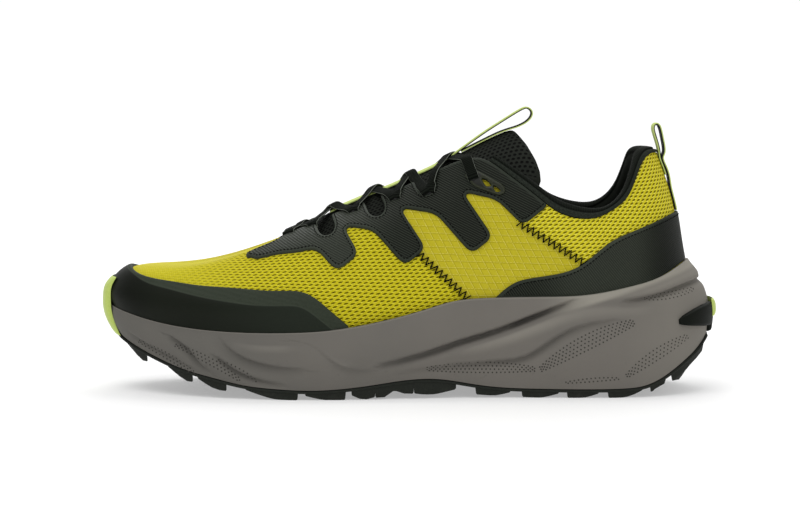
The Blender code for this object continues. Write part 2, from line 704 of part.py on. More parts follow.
# Tongue: padded plate under the throat, arched over the instep
steps = np.array([0, 0.11, 0.22, 0.34, 0.46, 0.58, 0.69, 0.79, 0.87, 0.93, 0.97, 0.99, 1.0])
spans = np.linspace(-1, 1, 9)
knots = (TONGUE["x"] - TONGUE["x"][0]) / np.ptp(TONGUE["x"])
line = spline(knots, np.stack([TONGUE[c] for c in ("x", "z", "half", "fall", "thick")], 1), steps)
square = np.array([[-math.sin(TONGUE_SLOPE), 0.0, math.cos(TONGUE_SLOPE)]])
centre = np.stack([line[:, 0], np.zeros(len(line)), line[:, 1]], 1)
tongue_top = np.empty((len(steps), len(spans), 3))
tongue_low = np.empty_like(tongue_top)
for j, span in enumerate(spans):
    fall = line[:, 3] * span**2
    thick = line[:, 4] * (1 - 0.55 * abs(span) ** 3)
    run, drop = (np.interp(fall, TONGUE_DROP["fall"], TONGUE_DROP[c]) for c in ("run", "drop"))
    tongue_top[:, j] = centre + np.stack([run, 0 * run, -drop], 1)
    tongue_top[:, j, 1] = line[:, 2] * span
    tongue_low[:, j] = tongue_top[:, j] - square * thick[:, None]
    tongue_low[:, j, 1] = line[:, 2] * span * (1 - 0.12 * abs(span))
make("tongue", slab(tongue_top, tongue_low), shoe, BLACK, 0.9)


def patch(u, low, high, rows, inside, outside):
    """Overlay between two larger forms of the upper, cut along two heights."""
    share = np.linspace(0, 1, rows)[None, :]
    v = low[:, None] * (1 - share) + high[:, None] * share
    return slab(skin(u, v, outside), skin(u, v, inside))


# Toe cap and heel counter: moulded covers that stand on the midsole's rim
toe_turn = np.concatenate([turn[-13:] - 1, turn[:14]])
toe_low = crossing(toe_turn, RIM_LINE, COVER_LIFT)
toe_high = np.maximum(crossing(toe_turn, CAP_EDGE), toe_low + 0.015)
make(
    "toe_cap", patch(toe_turn, toe_low, toe_high, 5, CAP_GAP, CAP_GAP + OVERLAY), shoe, BLACK, 0.5,
)
heel_turn = turn[ROUND // 2 - 11:ROUND // 2 + 12]
heel_low = crossing(heel_turn, RIM_LINE, COVER_LIFT)
heel_high = np.maximum(crossing(heel_turn, COUNTER_EDGE), heel_low + 0.015)
make(
    "heel_counter", patch(heel_turn, heel_low, heel_high, 4, COVER_GAP, COVER_GAP + OVERLAY),
    shoe, BLACK, 0.6,
)


def finger_outline():
    """Side view of the eyestay: a band over slanted fingers with round ends."""
    slant = np.array([math.cos(FINGER_SLANT), -math.sin(FINGER_SLANT)])
    across = np.array([slant[1], -slant[0]])
    ring = [(-100.0, 63.5), (-76.0, 64.6), (-71.4, 65.3), (-64.0, 67.4), (-54.0, 68.4)]
    for x, z, half, length in zip(*(FINGERS[name] for name in ("tip_x", "tip_z", "half", "length"))):
        tip = np.array([x, z])
        ring.append(tuple(tip + across * half * 1.25 - slant * length))
        for angle in np.radians([0, 45, 90, 135, 180]):
            ring.append(tuple(tip + half * (across * math.cos(angle) + slant * math.sin(angle))))
        ring.append(tuple(tip - across * half * 1.25 - slant * length))
    ring += [(75.0, 96.0), (75.0, 140.0), (-100.0, 140.0)]
    return ring


def stay_front(sign):
    """Block seen from above that shapes the front of the eyestay into a narrow strip."""
    ring = [(80.0, 0.0), (STAY_THROAT, sign * 3.0)]
    tip_x = STAY_TIP["x"] if sign < 0 else STAY_TIP["inner_x"]
    ring += [(x, sign * reach) for x, reach in zip(tip_x, STAY_TIP["reach"])]
    ring.append((80.0, sign * 80.0))
    n = len(ring)
    low = [(x, y, 20.0) for x, y in ring]
    high = [(x, y, 160.0) for x, y in ring]
    faces = [tuple(range(n)), tuple(reversed(range(n, 2 * n)))]
    for i in range(n):
        j = (i + 1) % n
        faces.append((i, i + n, j + n, j))
    return np.array(low + high), faces


def notch_outline(x, z, grow):
    """Side view of a round-bottomed notch in the throat edge."""
    half = NOTCH_HALF + grow
    slope = np.array([0.447, -0.894])
    across = np.array([0.894, 0.447])
    low = np.array([x, z]) + slope * (NOTCH_DEPTH - NOTCH_HALF)
    ring = [tuple(low + half * (across * math.cos(a) + slope * math.sin(a)))
            for a in np.radians([0, 45, 90, 135, 180])]
    top = np.array([x, z]) - slope * 12
    return ring + [tuple(top - across * half), tuple(top + across * half)]


# Eyestays: one on each side, with fingers down the flank and notches for the lace
for side_name, sign in (("lateral", -1), ("medial", 1)):
    rows = turn[1:STAY_SECTIONS] if sign < 0 else turn[ROUND + 1 - STAY_SECTIONS:]
    high = np.broadcast_to(np.array(HEIGHTS[-4:])[None, :], (len(rows), 4))
    strip = slab(skin(rows, high, COVER_GAP + OVERLAY), skin(rows, high, COVER_GAP))
    stay = make("eyestay_" + side_name, strip, shoe, BLACK, 0.6)
    front = make("stay_front_" + side_name, stay_front(sign), cutters)
    combine(stay, front, "INTERSECT")
    fingers = make("fingers_" + side_name, prism(finger_outline(), sign * 70.0, sign * -30.0), cutters)
    combine(stay, fingers, "INTERSECT")
    for k, (x, z) in enumerate(zip(NOTCHES["x"], NOTCHES["z"])):
        for item, grow in ((stay, 0.0), (upper, 0.6)):
            name = "notch_{}_{}_{}".format(item.name, side_name, k)
            hole = make(name, prism(notch_outline(x, z, grow), sign * 40.0, sign * 2.0), cutters)
            combine(item, hole, "DIFFERENCE")

# Padded collar: a roll on the upper's edge that runs down inside as the lining
collar_turn = turn[ROUND // 2 - 11:ROUND // 2 + 12]
collar_base = upper_points(collar_turn, np.ones((1, 1)))[:, 0]
collar_out = upper_normals(collar_turn, np.ones((1, 1)))[:, 0]
collar_knots = np.concatenate([COLLAR_TOP["s"] / 2, 1 - COLLAR_TOP["s"][-2::-1] / 2])
collar_rows = np.stack([
    np.concatenate([COLLAR_TOP[a], COLLAR_TOP[b][-2::-1]])
    for a, b in (("x", "x"), ("y_outer", "y_inner"), ("z", "z"))
], 1)
collar_rise = spline(collar_knots, collar_rows, collar_turn) - collar_base
collar_size = np.linalg.norm(collar_rise, axis=1)
plump = np.interp(np.abs(collar_turn - 0.5), (0.09, 0.14, 0.19), (1.0, 0.75, 0.2))
roll = []
for share, inside in zip(PADDING_EDGE["share"], PADDING_EDGE["inside"]):
    lift = np.maximum(share, 0.5 / collar_size)
    swell = np.where(inside > 0, plump, 1.0) * inside
    roll.append(collar_base + collar_rise * lift[:, None] - collar_out * swell[:, None])
lining = 1 - (1 - PADDING_LINING["v"])[:, None] * np.sqrt(plump)
for v, inside in zip(lining, PADDING_LINING["inside"]):
    back = WALL + LINING_GAP + inside * plump
    roll.append(upper_points(collar_turn, v[:, None])[:, 0]
                - upper_normals(collar_turn, v[:, None])[:, 0] * back[:, None])
for v in lining[:0:-1]:
    roll.append(skin(collar_turn, v[:, None], -(WALL + LINING_GAP))[:, 0])
roll.append(roll[0] - collar_out * (WALL + LINING_GAP))
roll = np.stack(roll, 1)
count = roll.shape[1]
faces = []
for i in range(len(roll) - 1):
    for j in range(count):
        k = (j + 1) % count
        faces.append((i * count + j, (i + 1) * count + j, (i + 1) * count + k, i * count + k))
faces.append(tuple(range(count)))
faces.append(tuple(reversed(range((len(roll) - 1) * count, len(roll) * count))))
make("collar_cuff", (roll.reshape(-1, 3), faces), shoe, BLACK, 0.9)

# Pull loops: a tape up the tongue and one at the back of the collar
tape_knots = np.linspace(0, 1, len(TONGUE_LOOP["x"]))
tape_path = spline(tape_knots, np.stack([TONGUE_LOOP["x"], TONGUE_LOOP["z"]], 1), np.linspace(0, 1, 29))
make("tongue_pull_loop", ribbon(tape_path, LOOP_WIDTH, LOOP_TAPE), shoe, LIME, 0.7)
heel_line = upper_points(np.array([0.5]), np.linspace(0, 1, 200)[None, :])[0]
strand_z = np.linspace(*HEEL_STRAND, 6)
strand_x = np.interp(strand_z, heel_line[60:, 2], heel_line[60:, 0]) + 2 * FIT_GAP
heel_rows = np.stack([np.append(HEEL_LOOP["x"], strand_x), np.append(HEEL_LOOP["z"], strand_z)], 1)
heel_path = spline(np.linspace(0, 1, len(heel_rows)), heel_rows, np.linspace(0, 1, 21))
make("heel_pull_loop", ribbon(heel_path, LOOP_WIDTH, LOOP_TAPE), shoe, LIME, 0.7)

# Toe bumper: rubber strip down the front of the toe
bumper_z = np.linspace(BUMPER_LINE["z"][0], BUMPER_LINE["z"][-1], 8)
bumper_x = spline(BUMPER_LINE["z"][::-1], BUMPER_LINE["x"][::-1], bumper_z)[:, 0]
across = np.linspace(-1, 1, 6)
bumper_inner = np.empty((len(across), len(bumper_z), 3))
toe_y = FEATHER["y_outer"][0]
for i, span in enumerate(across):
    back = (span * BUMPER_HALF) ** 2 / BUMPER_ROUND
    bumper_inner[i] = np.stack(
        [bumper_x + back, np.full(len(bumper_z), toe_y + span * BUMPER_HALF), bumper_z], 1)
bumper_outer = bumper_inner - np.array([BUMPER_THICKNESS, 0, 0])
make("toe_bumper", slab(bumper_outer, bumper_inner), shoe, LIME, 0.5)


def clip_grid(u, low, high, rows, offset):
    """Part of the midsole's side between two heights, moved out by an offset."""
    rim_z = upper_points(u, crossing(u, RIM_LINE)[:, None])[:, 0, 2]
    foot_z = sole_edge(u)[:, 2]
    grid = np.empty((len(u), rows, 3))
    for k in range(len(u)):
        z = np.linspace(low[k], high[k], rows)
        share = (rim_z[k] - z) / (rim_z[k] - foot_z[k])
        grid[k] = sole_side(u[k:k + 1], share)[0] + outward(u[k:k + 1]) * offset
    return grid


# Heel clip: rubber band round the back of the midsole, with a stem down to the outsole
clip_turn = np.concatenate([-CLIP["reach"][:0:-1], CLIP["reach"]])
clip_low = np.concatenate([CLIP["low"][:0:-1], CLIP["low"]])
clip_high = np.concatenate([CLIP["high"][:0:-1], CLIP["high"]])
clip_u = 0.5 + clip_turn
make(
    "heel_clip",
    slab(clip_grid(clip_u, clip_low, clip_high, 4, COVER_GAP + CLIP_THICKNESS),
         clip_grid(clip_u, clip_low, clip_high, 4, COVER_GAP)),
    shoe, BLACK, 0.7,
)

# Heel pad: small rubber inlay over the middle of the clip
pad_u = 0.5 + np.linspace(-PAD_REACH, PAD_REACH, 5)
pad_low = np.full(5, PAD_LOW)
pad_high = np.full(5, PAD_HIGH)
pad_base = CLIP_THICKNESS + 2 * COVER_GAP
make(
    "heel_pad",
    slab(clip_grid(pad_u, pad_low, pad_high, 3, pad_base + PAD_THICKNESS),
         clip_grid(pad_u, pad_low, pad_high, 3, pad_base)),
    shoe, LIME, 0.5,
)

# Top eyelets: moulded plates on the eyestays with two openings each
plate_low = COVER_GAP + OVERLAY + FIT_GAP
for side_name, sign in (("lateral", -1), ("medial", 1)):
    span = np.linspace(0.545, 0.70, 7)
    u = span / 2 if sign < 0 else 1 - span[::-1] / 2
    low = 1 - 28.0 / section_lengths(u)
    high = 1 - 2.0 / section_lengths(u)
    plate = make(
        "top_eyelet_" + side_name, patch(u, low, high, 4, plate_low, plate_low + PLATE), shoe, BLACK, 0.4,
    )
    rows = list(zip(PLATE_EDGE["x"], PLATE_EDGE["z"]))
    frame = make("plate_edge_" + side_name, prism(rows, sign * 60.0, sign * 5.0), cutters)
    combine(plate, frame, "INTERSECT")
    for k, (x, z) in enumerate(zip(PLATE_HOLES["x"], PLATE_HOLES["z"])):
        corners = [(x + a * PLATE_HOLE_X + b * 0.8, z + b * PLATE_HOLE_Z - a * 0.9)
                   for a, b in ((-1, -1), (1, -1), (1, 1), (-1, 1))]
        hole = make("plate_hole_{}_{}".format(side_name, k), prism(corners, sign * 60.0, sign * 5.0), cutters)
        combine(plate, hole, "DIFFERENCE")


def resting_tree(shapes):
    """Search tree over the surfaces a lace can lie on."""
    points, faces, count = [], [], 0
    for shape_points, shape_faces in shapes:
        points += [Vector(p) for p in shape_points]
        faces += [tuple(i + count for i in face) for face in shape_faces]
        count += len(shape_points)
    return BVHTree.FromPolygons(points, faces)


stay_span = np.linspace(0.03, 0.70, 40)
stay_rest = []
for u in (stay_span / 2, 1 - stay_span[::-1] / 2):
    low = 1 - 24.0 / section_lengths(u)
    stay_rest.append(patch(u, low, np.ones(len(u)), 8, 0.0, COVER_GAP + OVERLAY))
rest = resting_tree(stay_rest + [slab(tongue_top, tongue_low), ribbon(tape_path[:13], LOOP_WIDTH, LOOP_TAPE)])


def eyelet(row, sign):
    """Place of an eyelet on the eyestay."""
    u = np.array([LACE_ROWS[row] / 2 if sign < 0 else 1 - LACE_ROWS[row] / 2])
    inset = LACE_TOP_INSET if row >= LACE_LOW_ROWS else LACE_INSET
    v = 1 - inset / section_lengths(u)
    lift = COVER_GAP + OVERLAY + (1.6 if row == len(LACE_ROWS) - 1 else 0.0)
    return skin(u, v[:, None], lift + LACE_CLEAR)[0, 0]


def taut(start, end):
    """Line pulled tight from start to end over what lies between."""
    share = np.linspace(-0.04, 1.04, 55)[:, None]
    points = start * (1 - share) + end * share
    near_end = (share[:, 0] < 0.06) | (share[:, 0] > 0.94)
    floor = np.where(near_end, points[:, 2], 0.0)
    for k, (x, y, _) in enumerate(points):
        hit = rest.ray_cast(Vector((x, y, 200.0)), Vector((0, 0, -1)))[0]
        if hit:
            floor[k] = max(floor[k], hit.z + LACE_CLEAR)
    keep = []
    for k in range(len(points)):
        while len(keep) > 1:
            i, j = keep[-2], keep[-1]
            if (floor[j] - floor[i]) * (k - i) >= (floor[k] - floor[i]) * (j - i):
                break
            keep.pop()
        keep.append(k)
    points[:, 2] = np.interp(np.arange(len(points)), keep, floor[keep])
    return points[::9]


def strand(start, end):
    """One flat crossing of the lace."""
    path = taut(start, end)
    along = np.gradient(path, axis=0)
    along /= np.linalg.norm(along, axis=1, keepdims=True)
    wide = np.cross(along, np.array([-0.44, 0.0, 0.9]))
    wide /= np.linalg.norm(wide, axis=1, keepdims=True)
    up = np.cross(wide, along)
    left, right = path - wide * LACE_WIDTH / 2, path + wide * LACE_WIDTH / 2
    low = np.stack([left, right], 1)
    return slab(low + up[:, None] * LACE_THICKNESS, low)


# Lace: front bar and crossings, joined where they meet and at the eyelets
crossings = [(eyelet(0, -1), eyelet(0, 1))]
for row in range(len(LACE_ROWS) - 1):
    crossings.append((eyelet(row, -1), eyelet(row + 1, 1)))
    crossings.append((eyelet(row, 1), eyelet(row + 1, -1)))
lace = make("lace", strand(*crossings[0]), shoe, BLACK, 0.8)
for k, ends in enumerate(crossings[1:]):
    combine(lace, make("lace_crossing_{}".format(k), strand(*ends), cutters), "UNION")
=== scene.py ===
import math
from itertools import groupby

import bpy
import numpy as np
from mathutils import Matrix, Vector
from mathutils.bvhtree import BVHTree
from mathutils.geometry import delaunay_2d_cdt
from mathutils.kdtree import KDTree


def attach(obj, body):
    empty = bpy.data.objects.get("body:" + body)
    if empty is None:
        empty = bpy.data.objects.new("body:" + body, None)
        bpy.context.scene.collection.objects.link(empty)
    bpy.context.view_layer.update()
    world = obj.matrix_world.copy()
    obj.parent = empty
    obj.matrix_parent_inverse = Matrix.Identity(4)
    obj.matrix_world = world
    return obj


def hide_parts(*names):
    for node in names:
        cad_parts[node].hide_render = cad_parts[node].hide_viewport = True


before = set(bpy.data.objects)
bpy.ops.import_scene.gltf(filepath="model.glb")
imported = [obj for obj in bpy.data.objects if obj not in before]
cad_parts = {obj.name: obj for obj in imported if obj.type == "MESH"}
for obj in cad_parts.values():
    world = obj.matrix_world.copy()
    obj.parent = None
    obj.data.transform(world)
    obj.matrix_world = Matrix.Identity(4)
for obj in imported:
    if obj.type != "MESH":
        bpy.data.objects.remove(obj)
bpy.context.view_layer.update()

# Upper: yellow knit sewn flat from three panels, open knit at the front and the heel and a ripstop
# piece between them, then pulled over the last and cemented into the sole. One hollow shell with a
# wall of two millimetres, notched along the throat for the lace. Tables are in millimetres.
MM = 0.001
WALL = 2.0
NOTCH_HALF = 4.2
NOTCH_DEPTH = 8.0
NOTCH_DOWN = np.array([0.447, -0.894])
NOTCH_ACROSS = np.array([0.894, 0.447])


def table(names, *rows):
    """Short table read by its column names."""
    return {name: np.array(column, float) for name, column in zip(names.split(), zip(*rows))}


FEATHER = table(
    "s      x       y_outer  y_inner  z",
    (0.00, -143.0, 5.0, 5.0, 36.5),
    (0.06, -137.0, -12.0, 21.5, 35.0),
    (0.13, -120.5, -26.5, 32.5, 32.0),
    (0.22, -95.0, -38.0, 40.5, 29.0),
    (0.34, -58.0, -45.0, 43.8, 26.5),
    (0.48, -15.0, -42.5, 38.0, 27.0),
    (0.61, 25.0, -36.0, 31.5, 30.0),
    (0.74, 65.0, -32.5, 30.0, 33.5),
    (0.86, 102.0, -30.0, 30.0, 35.0),
    (0.95, 126.0, -17.0, 17.5, 36.0),
    (1.00, 133.0, 0.0, 0.0, 36.5),
)
SECTIONS = table(
    "s      belly_out belly_rise shoulder_run shoulder_out shoulder_rise roof_run roof_out roof_rise",
    (0.00, 3.7, 0.30, 0.035, 0.5, 0.55, 0.330, 0.0, 0.645),
    (0.06, 3.8, 0.30, 0.035, 0.5, 0.53, 0.330, 0.0, 0.645),
    (0.13, 4.0, 0.28, 0.060, 0.0, 0.51, 0.360, 0.0, 0.680),
    (0.22, 4.2, 0.26, 0.130, 0.0, 0.51, 0.510, 0.0, 0.755),
    (0.34, 4.2, 0.24, 0.140, 0.0, 0.51, 0.510, 0.0, 0.780),
    (0.48, 4.0, 0.24, 0.150, 0.0, 0.50, 0.520, 0.0, 0.785),
    (0.61, 4.0, 0.22, 0.180, 1.5, 0.47, 0.520, 0.5, 0.770),
    (0.74, 4.0, 0.28, 0.300, 4.0, 0.55, 0.650, 2.8, 0.800),
    (0.86, 4.0, 0.28, 0.300, 3.8, 0.55, 0.650, 2.4, 0.800),
    (0.95, 2.8, 0.20, 0.300, 3.2, 0.43, 0.640, 3.0, 0.710),
    (1.00, 2.3, 0.18, 0.300, 3.6, 0.40, 0.650, 4.0, 0.680),
)
TOP_EDGE = table(
    "s       x       y_outer  y_inner  z",
    (0.000, -62.5, 1.0, 1.0, 73.6),
    (0.050, -60.8, -5.5, 7.0, 74.6),
    (0.160, -52.0, -8.5, 9.5, 78.3),
    (0.310, -31.0, -10.5, 11.0, 87.3),
    (0.460, -4.0, -13.5, 13.5, 98.0),
    (0.560, 14.0, -16.5, 16.5, 107.3),
    (0.620, 33.0, -20.5, 20.5, 113.3),
    (0.665, 45.0, -25.5, 25.5, 107.2),
    (0.715, 60.0, -30.5, 30.0, 95.8),
    (0.760, 72.0, -33.0, 32.5, 87.3),
    (0.800, 84.0, -34.0, 33.5, 84.8),
    (0.855, 95.5, -33.0, 32.5, 88.3),
    (0.900, 104.0, -29.5, 29.5, 95.3),
    (0.925, 107.5, -26.5, 26.5, 102.5),
    (0.950, 111.5, -21.5, 21.5, 111.5),
    (0.975, 117.0, -12.0, 12.0, 115.6),
    (1.000, 120.8, 0.0, 0.0, 115.5),
)
NOTCHES = table("x z", (-42.0, 83.5), (-18.0, 92.6), (6.0, 103.0))
RIDGE = table("x y", (-143.0, 5.0), (-62.0, 1.0), (133.0, 0.0))


def spline(knots, values, at, closed=False):
    """Smooth curve through values at the knots; a closed one repeats after 1."""
    knots = np.asarray(knots, float)
    values = np.asarray(values, float).reshape(len(knots), -1)
    at = np.atleast_1d(np.asarray(at, float))
    if closed:
        knots = np.concatenate([knots - 1, knots, knots + 1])
        values = np.tile(values, (3, 1))
        at = np.mod(at, 1.0)
    else:
        at = np.clip(at, knots[0], knots[-1])
    step = np.diff(knots)
    slope = np.diff(values, axis=0) / step[:, None]
    matrix = np.eye(len(knots))
    right = np.zeros_like(values)
    for i in range(1, len(knots) - 1):
        matrix[i, i - 1:i + 2] = step[i - 1], 2 * (step[i - 1] + step[i]), step[i]
        right[i] = 6 * (slope[i] - slope[i - 1])
    bend = np.linalg.solve(matrix, right)
    i = np.clip(np.searchsorted(knots, at, "right") - 1, 0, len(knots) - 2)
    width = step[i][:, None]
    b = (at - knots[i])[:, None] / width
    a = 1 - b
    swing = ((a**3 - a) * bend[i] + (b**3 - b) * bend[i + 1]) * width**2 / 6
    return a * values[i] + b * values[i + 1] + swing


def height(line, x):
    """Height of a side view line at places along the shoe."""
    x = np.asarray(x, float)
    return spline(line["x"], line["z"], x.ravel())[:, 0].reshape(x.shape)


def columns(rows, names):
    """Some columns of a table, side by side."""
    return np.stack([rows[name] for name in names.split()], 1)


def walked(line):
    """Length walked along a line up to each of its points."""
    return np.append(0, np.cumsum(np.linalg.norm(np.diff(line, axis=0), axis=1)))


def smooth_line(points, count):
    """Smooth line of a number of points through some places."""
    length = walked(points)
    return spline(length / length[-1], points, np.linspace(0, 1, count))


def resampled(line, at, length):
    """Places of a line at given lengths, from the length walked to each of its points."""
    return np.stack([np.interp(at, length, column) for column in line.T], 1)


def unit(vectors):
    """Directions of some vectors."""
    return vectors / np.linalg.norm(vectors, axis=-1, keepdims=True)


def around(rows, outer, inner, u):
    """One column read round the whole shoe: toe, outer side, heel, inner side."""
    half = rows["s"] / 2
    knots = np.concatenate([half, 1 - half[-2:0:-1]])
    return spline(knots, np.concatenate([rows[outer], rows[inner][-2:0:-1]]), u, closed=True)[:, 0]


def loop_points(rows, u):
    """Points of a line that runs round the whole shoe."""
    sides = (("x", "x"), ("y_outer", "y_inner"), ("z", "z"))
    return np.stack([around(rows, outer, inner, u) for outer, inner in sides], 1)


LOOP_STEP = 0.0005
GUIDE_POINTS = 121
SECTION_POINTS = 301


def outward(u):
    """Level direction that points away from the last's bottom edge."""
    along = loop_points(FEATHER, u + LOOP_STEP) - loop_points(FEATHER, u - LOOP_STEP)
    return unit(np.stack([along[:, 1], -along[:, 0], np.zeros(len(along))], 1))


def last_grid(u, rows):
    """Outside of the upper: each section runs over five guides from the sole to the top edge."""
    foot, top, away = loop_points(FEATHER, u), loop_points(TOP_EDGE, u), outward(u)

    def level(run, out, rise):
        run, out, rise = (around(SECTIONS, name, name, u) if name else 0 * u for name in (run, out, rise))
        point = foot + (top - foot) * run[:, None] + away * out[:, None]
        point[:, 2] = foot[:, 2] + (top - foot)[:, 2] * rise
        return point

    guides = np.stack([
        foot,
        level(None, "belly_out", "belly_rise"),
        level("shoulder_run", "shoulder_out", "shoulder_rise"),
        level("roof_run", "roof_out", "roof_rise"),
        top,
    ], 1)
    curves = [(curve, walked(curve)) for curve in (smooth_line(guide, GUIDE_POINTS) for guide in guides)]
    return np.stack([resampled(curve, np.linspace(0, length[-1], rows), length) for curve, length in curves])


SKIN_U = 960
SKIN_V = 160
skin_grid = last_grid(np.arange(SKIN_U) / SKIN_U, SKIN_V + 1)
skin_ahead = np.roll(skin_grid, -1, 0) - np.roll(skin_grid, 1, 0)
skin_away = unit(np.cross(skin_ahead, np.gradient(skin_grid, axis=1)))


def between(grid, i, j, a, b):
    """Value at shares a and b of the cell i, j of a grid whose rows close to a loop."""
    low = grid[i % len(grid), j] * (1 - a) + grid[(i + 1) % len(grid), j] * a
    high = grid[i % len(grid), j + 1] * (1 - a) + grid[(i + 1) % len(grid), j + 1] * a
    return low * (1 - b) + high * b


def on_skin(u, v, offset=0.0):
    """Places of the upper's outside at loop share u and height v, moved out by an offset."""
    u, v = np.broadcast_arrays(np.mod(u, 1.0) * SKIN_U, np.clip(v, 0, 1) * SKIN_V)
    i = np.floor(u).astype(int)
    j = np.minimum(np.floor(v).astype(int), SKIN_V - 1)
    cell = i, j, (u - i)[..., None], (v - j)[..., None]
    return between(skin_grid, *cell) + between(skin_away, *cell) * np.asarray(offset, float)[..., None]


def skin_at(places, offset=0.0):
    """Points on the upper at (u, v) places."""
    return on_skin(*places.T, offset)


def skin_direction(u, v):
    """Directions that point straight out of the upper."""
    return unit(on_skin(u, v, 1.0) - on_skin(u, v))


def crossing(u, line, lift=0.0):
    """Height v at which each section passes a line drawn on the side view."""
    v = np.linspace(0, 1, SECTION_POINTS)
    points = on_skin(np.asarray(u)[:, None], v[None, :])
    over = points[..., 2] - height(line, points[..., 0]) - lift
    first = np.argmax(over > 0, axis=1)
    k, last = np.arange(len(over)), np.maximum(first - 1, 0)
    before, after = over[k, last], over[k, first]
    found = v[last] + (v[1] - v[0]) * before / np.where(before == after, 1, before - after)
    return np.where((over > 0).any(axis=1), found, 1.0)


def notch_depth(x, z, grow=0.0):
    """How far a side view place lies inside a lace notch; below zero outside."""
    best = np.full(np.shape(x), -np.inf)
    for cx, cz in columns(NOTCHES, "x z"):
        a = (x - cx) * NOTCH_ACROSS[0] + (z - cz) * NOTCH_ACROSS[1]
        b = np.maximum((x - cx) * NOTCH_DOWN[0] + (z - cz) * NOTCH_DOWN[1] - NOTCH_DEPTH + NOTCH_HALF, 0.0)
        best = np.maximum(best, NOTCH_HALF + grow - np.hypot(a, b))
    return best


def ridge(x):
    """Middle line of the vamp, seen from above."""
    return np.interp(x, RIDGE["x"], RIDGE["y"])


coarse = skin_grid[::3, ::2]
corner = np.arange(coarse.shape[0])[:, None] * coarse.shape[1] + np.arange(coarse.shape[1])[None, :]
ahead = np.roll(corner, -1, 0)
quads = np.stack([corner[:, :-1], ahead[:, :-1], ahead[:, 1:], corner[:, 1:]], -1).reshape(-1, 4)
skin_tree = BVHTree.FromPolygons([Vector(p) for p in coarse.reshape(-1, 3)], quads.tolist())
GIRTH_STEP = 3.0
GIRTH_DEGREES = 2.0
GIRTH_X = np.arange(-150.0, 141.0, GIRTH_STEP)
GIRTH_TURN = np.radians(np.arange(0.0, 121.0, GIRTH_DEGREES))
AXIS_HEIGHT = 24.0
LEVEL_HEIGHT = 28.0
GIRTH_PAST_ENDS = 20.0
girth, level_arc = {}, {}
for sign in (-1, 1):
    arcs, level_arc[sign] = [], []
    rays = [Vector((0, sign * math.sin(a), math.cos(a))) for a in GIRTH_TURN]
    for x in GIRTH_X:
        start = Vector((x, float(ridge(x)), AXIS_HEIGHT))
        hits = [skin_tree.ray_cast(start, ray)[3] for ray in rays]
        known = [k for k, hit in enumerate(hits) if hit is not None]
        reach = np.full(len(GIRTH_TURN), GIRTH_PAST_ENDS)
        if known:
            reach = np.interp(GIRTH_TURN, GIRTH_TURN[known], [hits[k] for k in known])
        ring = np.stack([reach * np.sin(GIRTH_TURN), reach * np.cos(GIRTH_TURN)], 1)
        arcs.append(walked(ring))
        level_arc[sign].append(np.interp(-LEVEL_HEIGHT, -ring[:, 1], arcs[-1]))
    girth[sign] = np.array(arcs)


def cloth_map(points):
    """Flat cloth measure of places on the upper: along the shoe, and over it from the middle line."""
    x, y, z = np.moveaxis(np.asarray(points), -1, 0)
    turn = np.degrees(np.arctan2(np.abs(y - ridge(x)), z - AXIS_HEIGHT))
    i = np.clip((x - GIRTH_X[0]) / GIRTH_STEP, 0, len(GIRTH_X) - 1.001)
    j = np.clip(turn / GIRTH_DEGREES, 0, len(GIRTH_TURN) - 1.001)
    cell = i.astype(int), j.astype(int), i - np.floor(i), j - np.floor(j)
    over = np.where(y < ridge(x), -between(girth[-1], *cell), between(girth[1], *cell))
    return np.stack([x, over], -1)


def shell(outer, inner, closed=False, keep=None):
    """Points and faces of a solid between two grids; keep marks the cells that stay."""
    n, m = outer.shape[:2]
    spans = n if closed else n - 1
    keep = np.ones((spans, m - 1), bool) if keep is None else keep
    i, j = np.nonzero(keep)
    nodes = [(i % n) * m + j, ((i + 1) % n) * m + j, ((i + 1) % n) * m + j + 1, (i % n) * m + j + 1]
    faces = [np.stack(nodes, 1), np.stack(nodes[::-1], 1) + n * m]
    wide = np.zeros((spans + 2, m + 1), bool)
    wide[1:-1, 1:-1] = keep
    if closed:
        wide[0, 1:-1], wide[-1, 1:-1] = keep[-1], keep[0]
    steps = ((0, -1), (1, 0), (0, 1), (-1, 0))
    for side, (di, dj) in enumerate(steps):
        bare = ~wide[i + 1 + di, j + 1 + dj]
        a, b = nodes[side][bare], nodes[(side + 1) % 4][bare]
        faces.append(np.stack([b, a, a + n * m, b + n * m], 1))
    return np.concatenate([outer.reshape(-1, 3), inner.reshape(-1, 3)]), np.concatenate(faces).tolist()


def linked(name, data):
    """Object in the scene for a mesh, lamp or camera."""
    item = bpy.data.objects.new(name, data)
    bpy.context.scene.collection.objects.link(item)
    return item


def ridden(name, mesh, slot):
    """Mesh as a piece of the shoe's one body. The slot is not used."""
    item = linked(name, mesh)
    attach(item, "root")
    return item


def piece(name, shape, material, slot, node, maps=None, sharp=50.0):
    """Finished piece in place of a solid, from points in millimetres and faces."""
    points, faces = shape
    mesh = bpy.data.meshes.new(name)
    mesh.from_pydata((np.asarray(points) * MM).tolist(), [], faces)
    for label, values in (maps or {}).items():
        if values.ndim == 1:
            mesh.attributes.new(label, "FLOAT", "POINT").data.foreach_set("value", values)
            continue
        corners = np.empty(len(mesh.loops), int)
        mesh.loops.foreach_get("vertex_index", corners)
        mesh.uv_layers.new(name=label).data.foreach_set("uv", values[corners].ravel())
    mesh.shade_smooth()
    mesh.set_sharp_from_angle(angle=math.radians(sharp))
    mesh.materials.append(material)
    item = ridden(name, mesh, slot)
    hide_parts(node)
    return item


def tone(red, green, blue):
    """Colour as seen on a screen, turned into light."""
    parts = [c / 255 for c in (red, green, blue)]
    return tuple(c / 12.92 if c <= 0.04045 else ((c + 0.055) / 1.055) ** 2.4 for c in parts) + (1.0,)


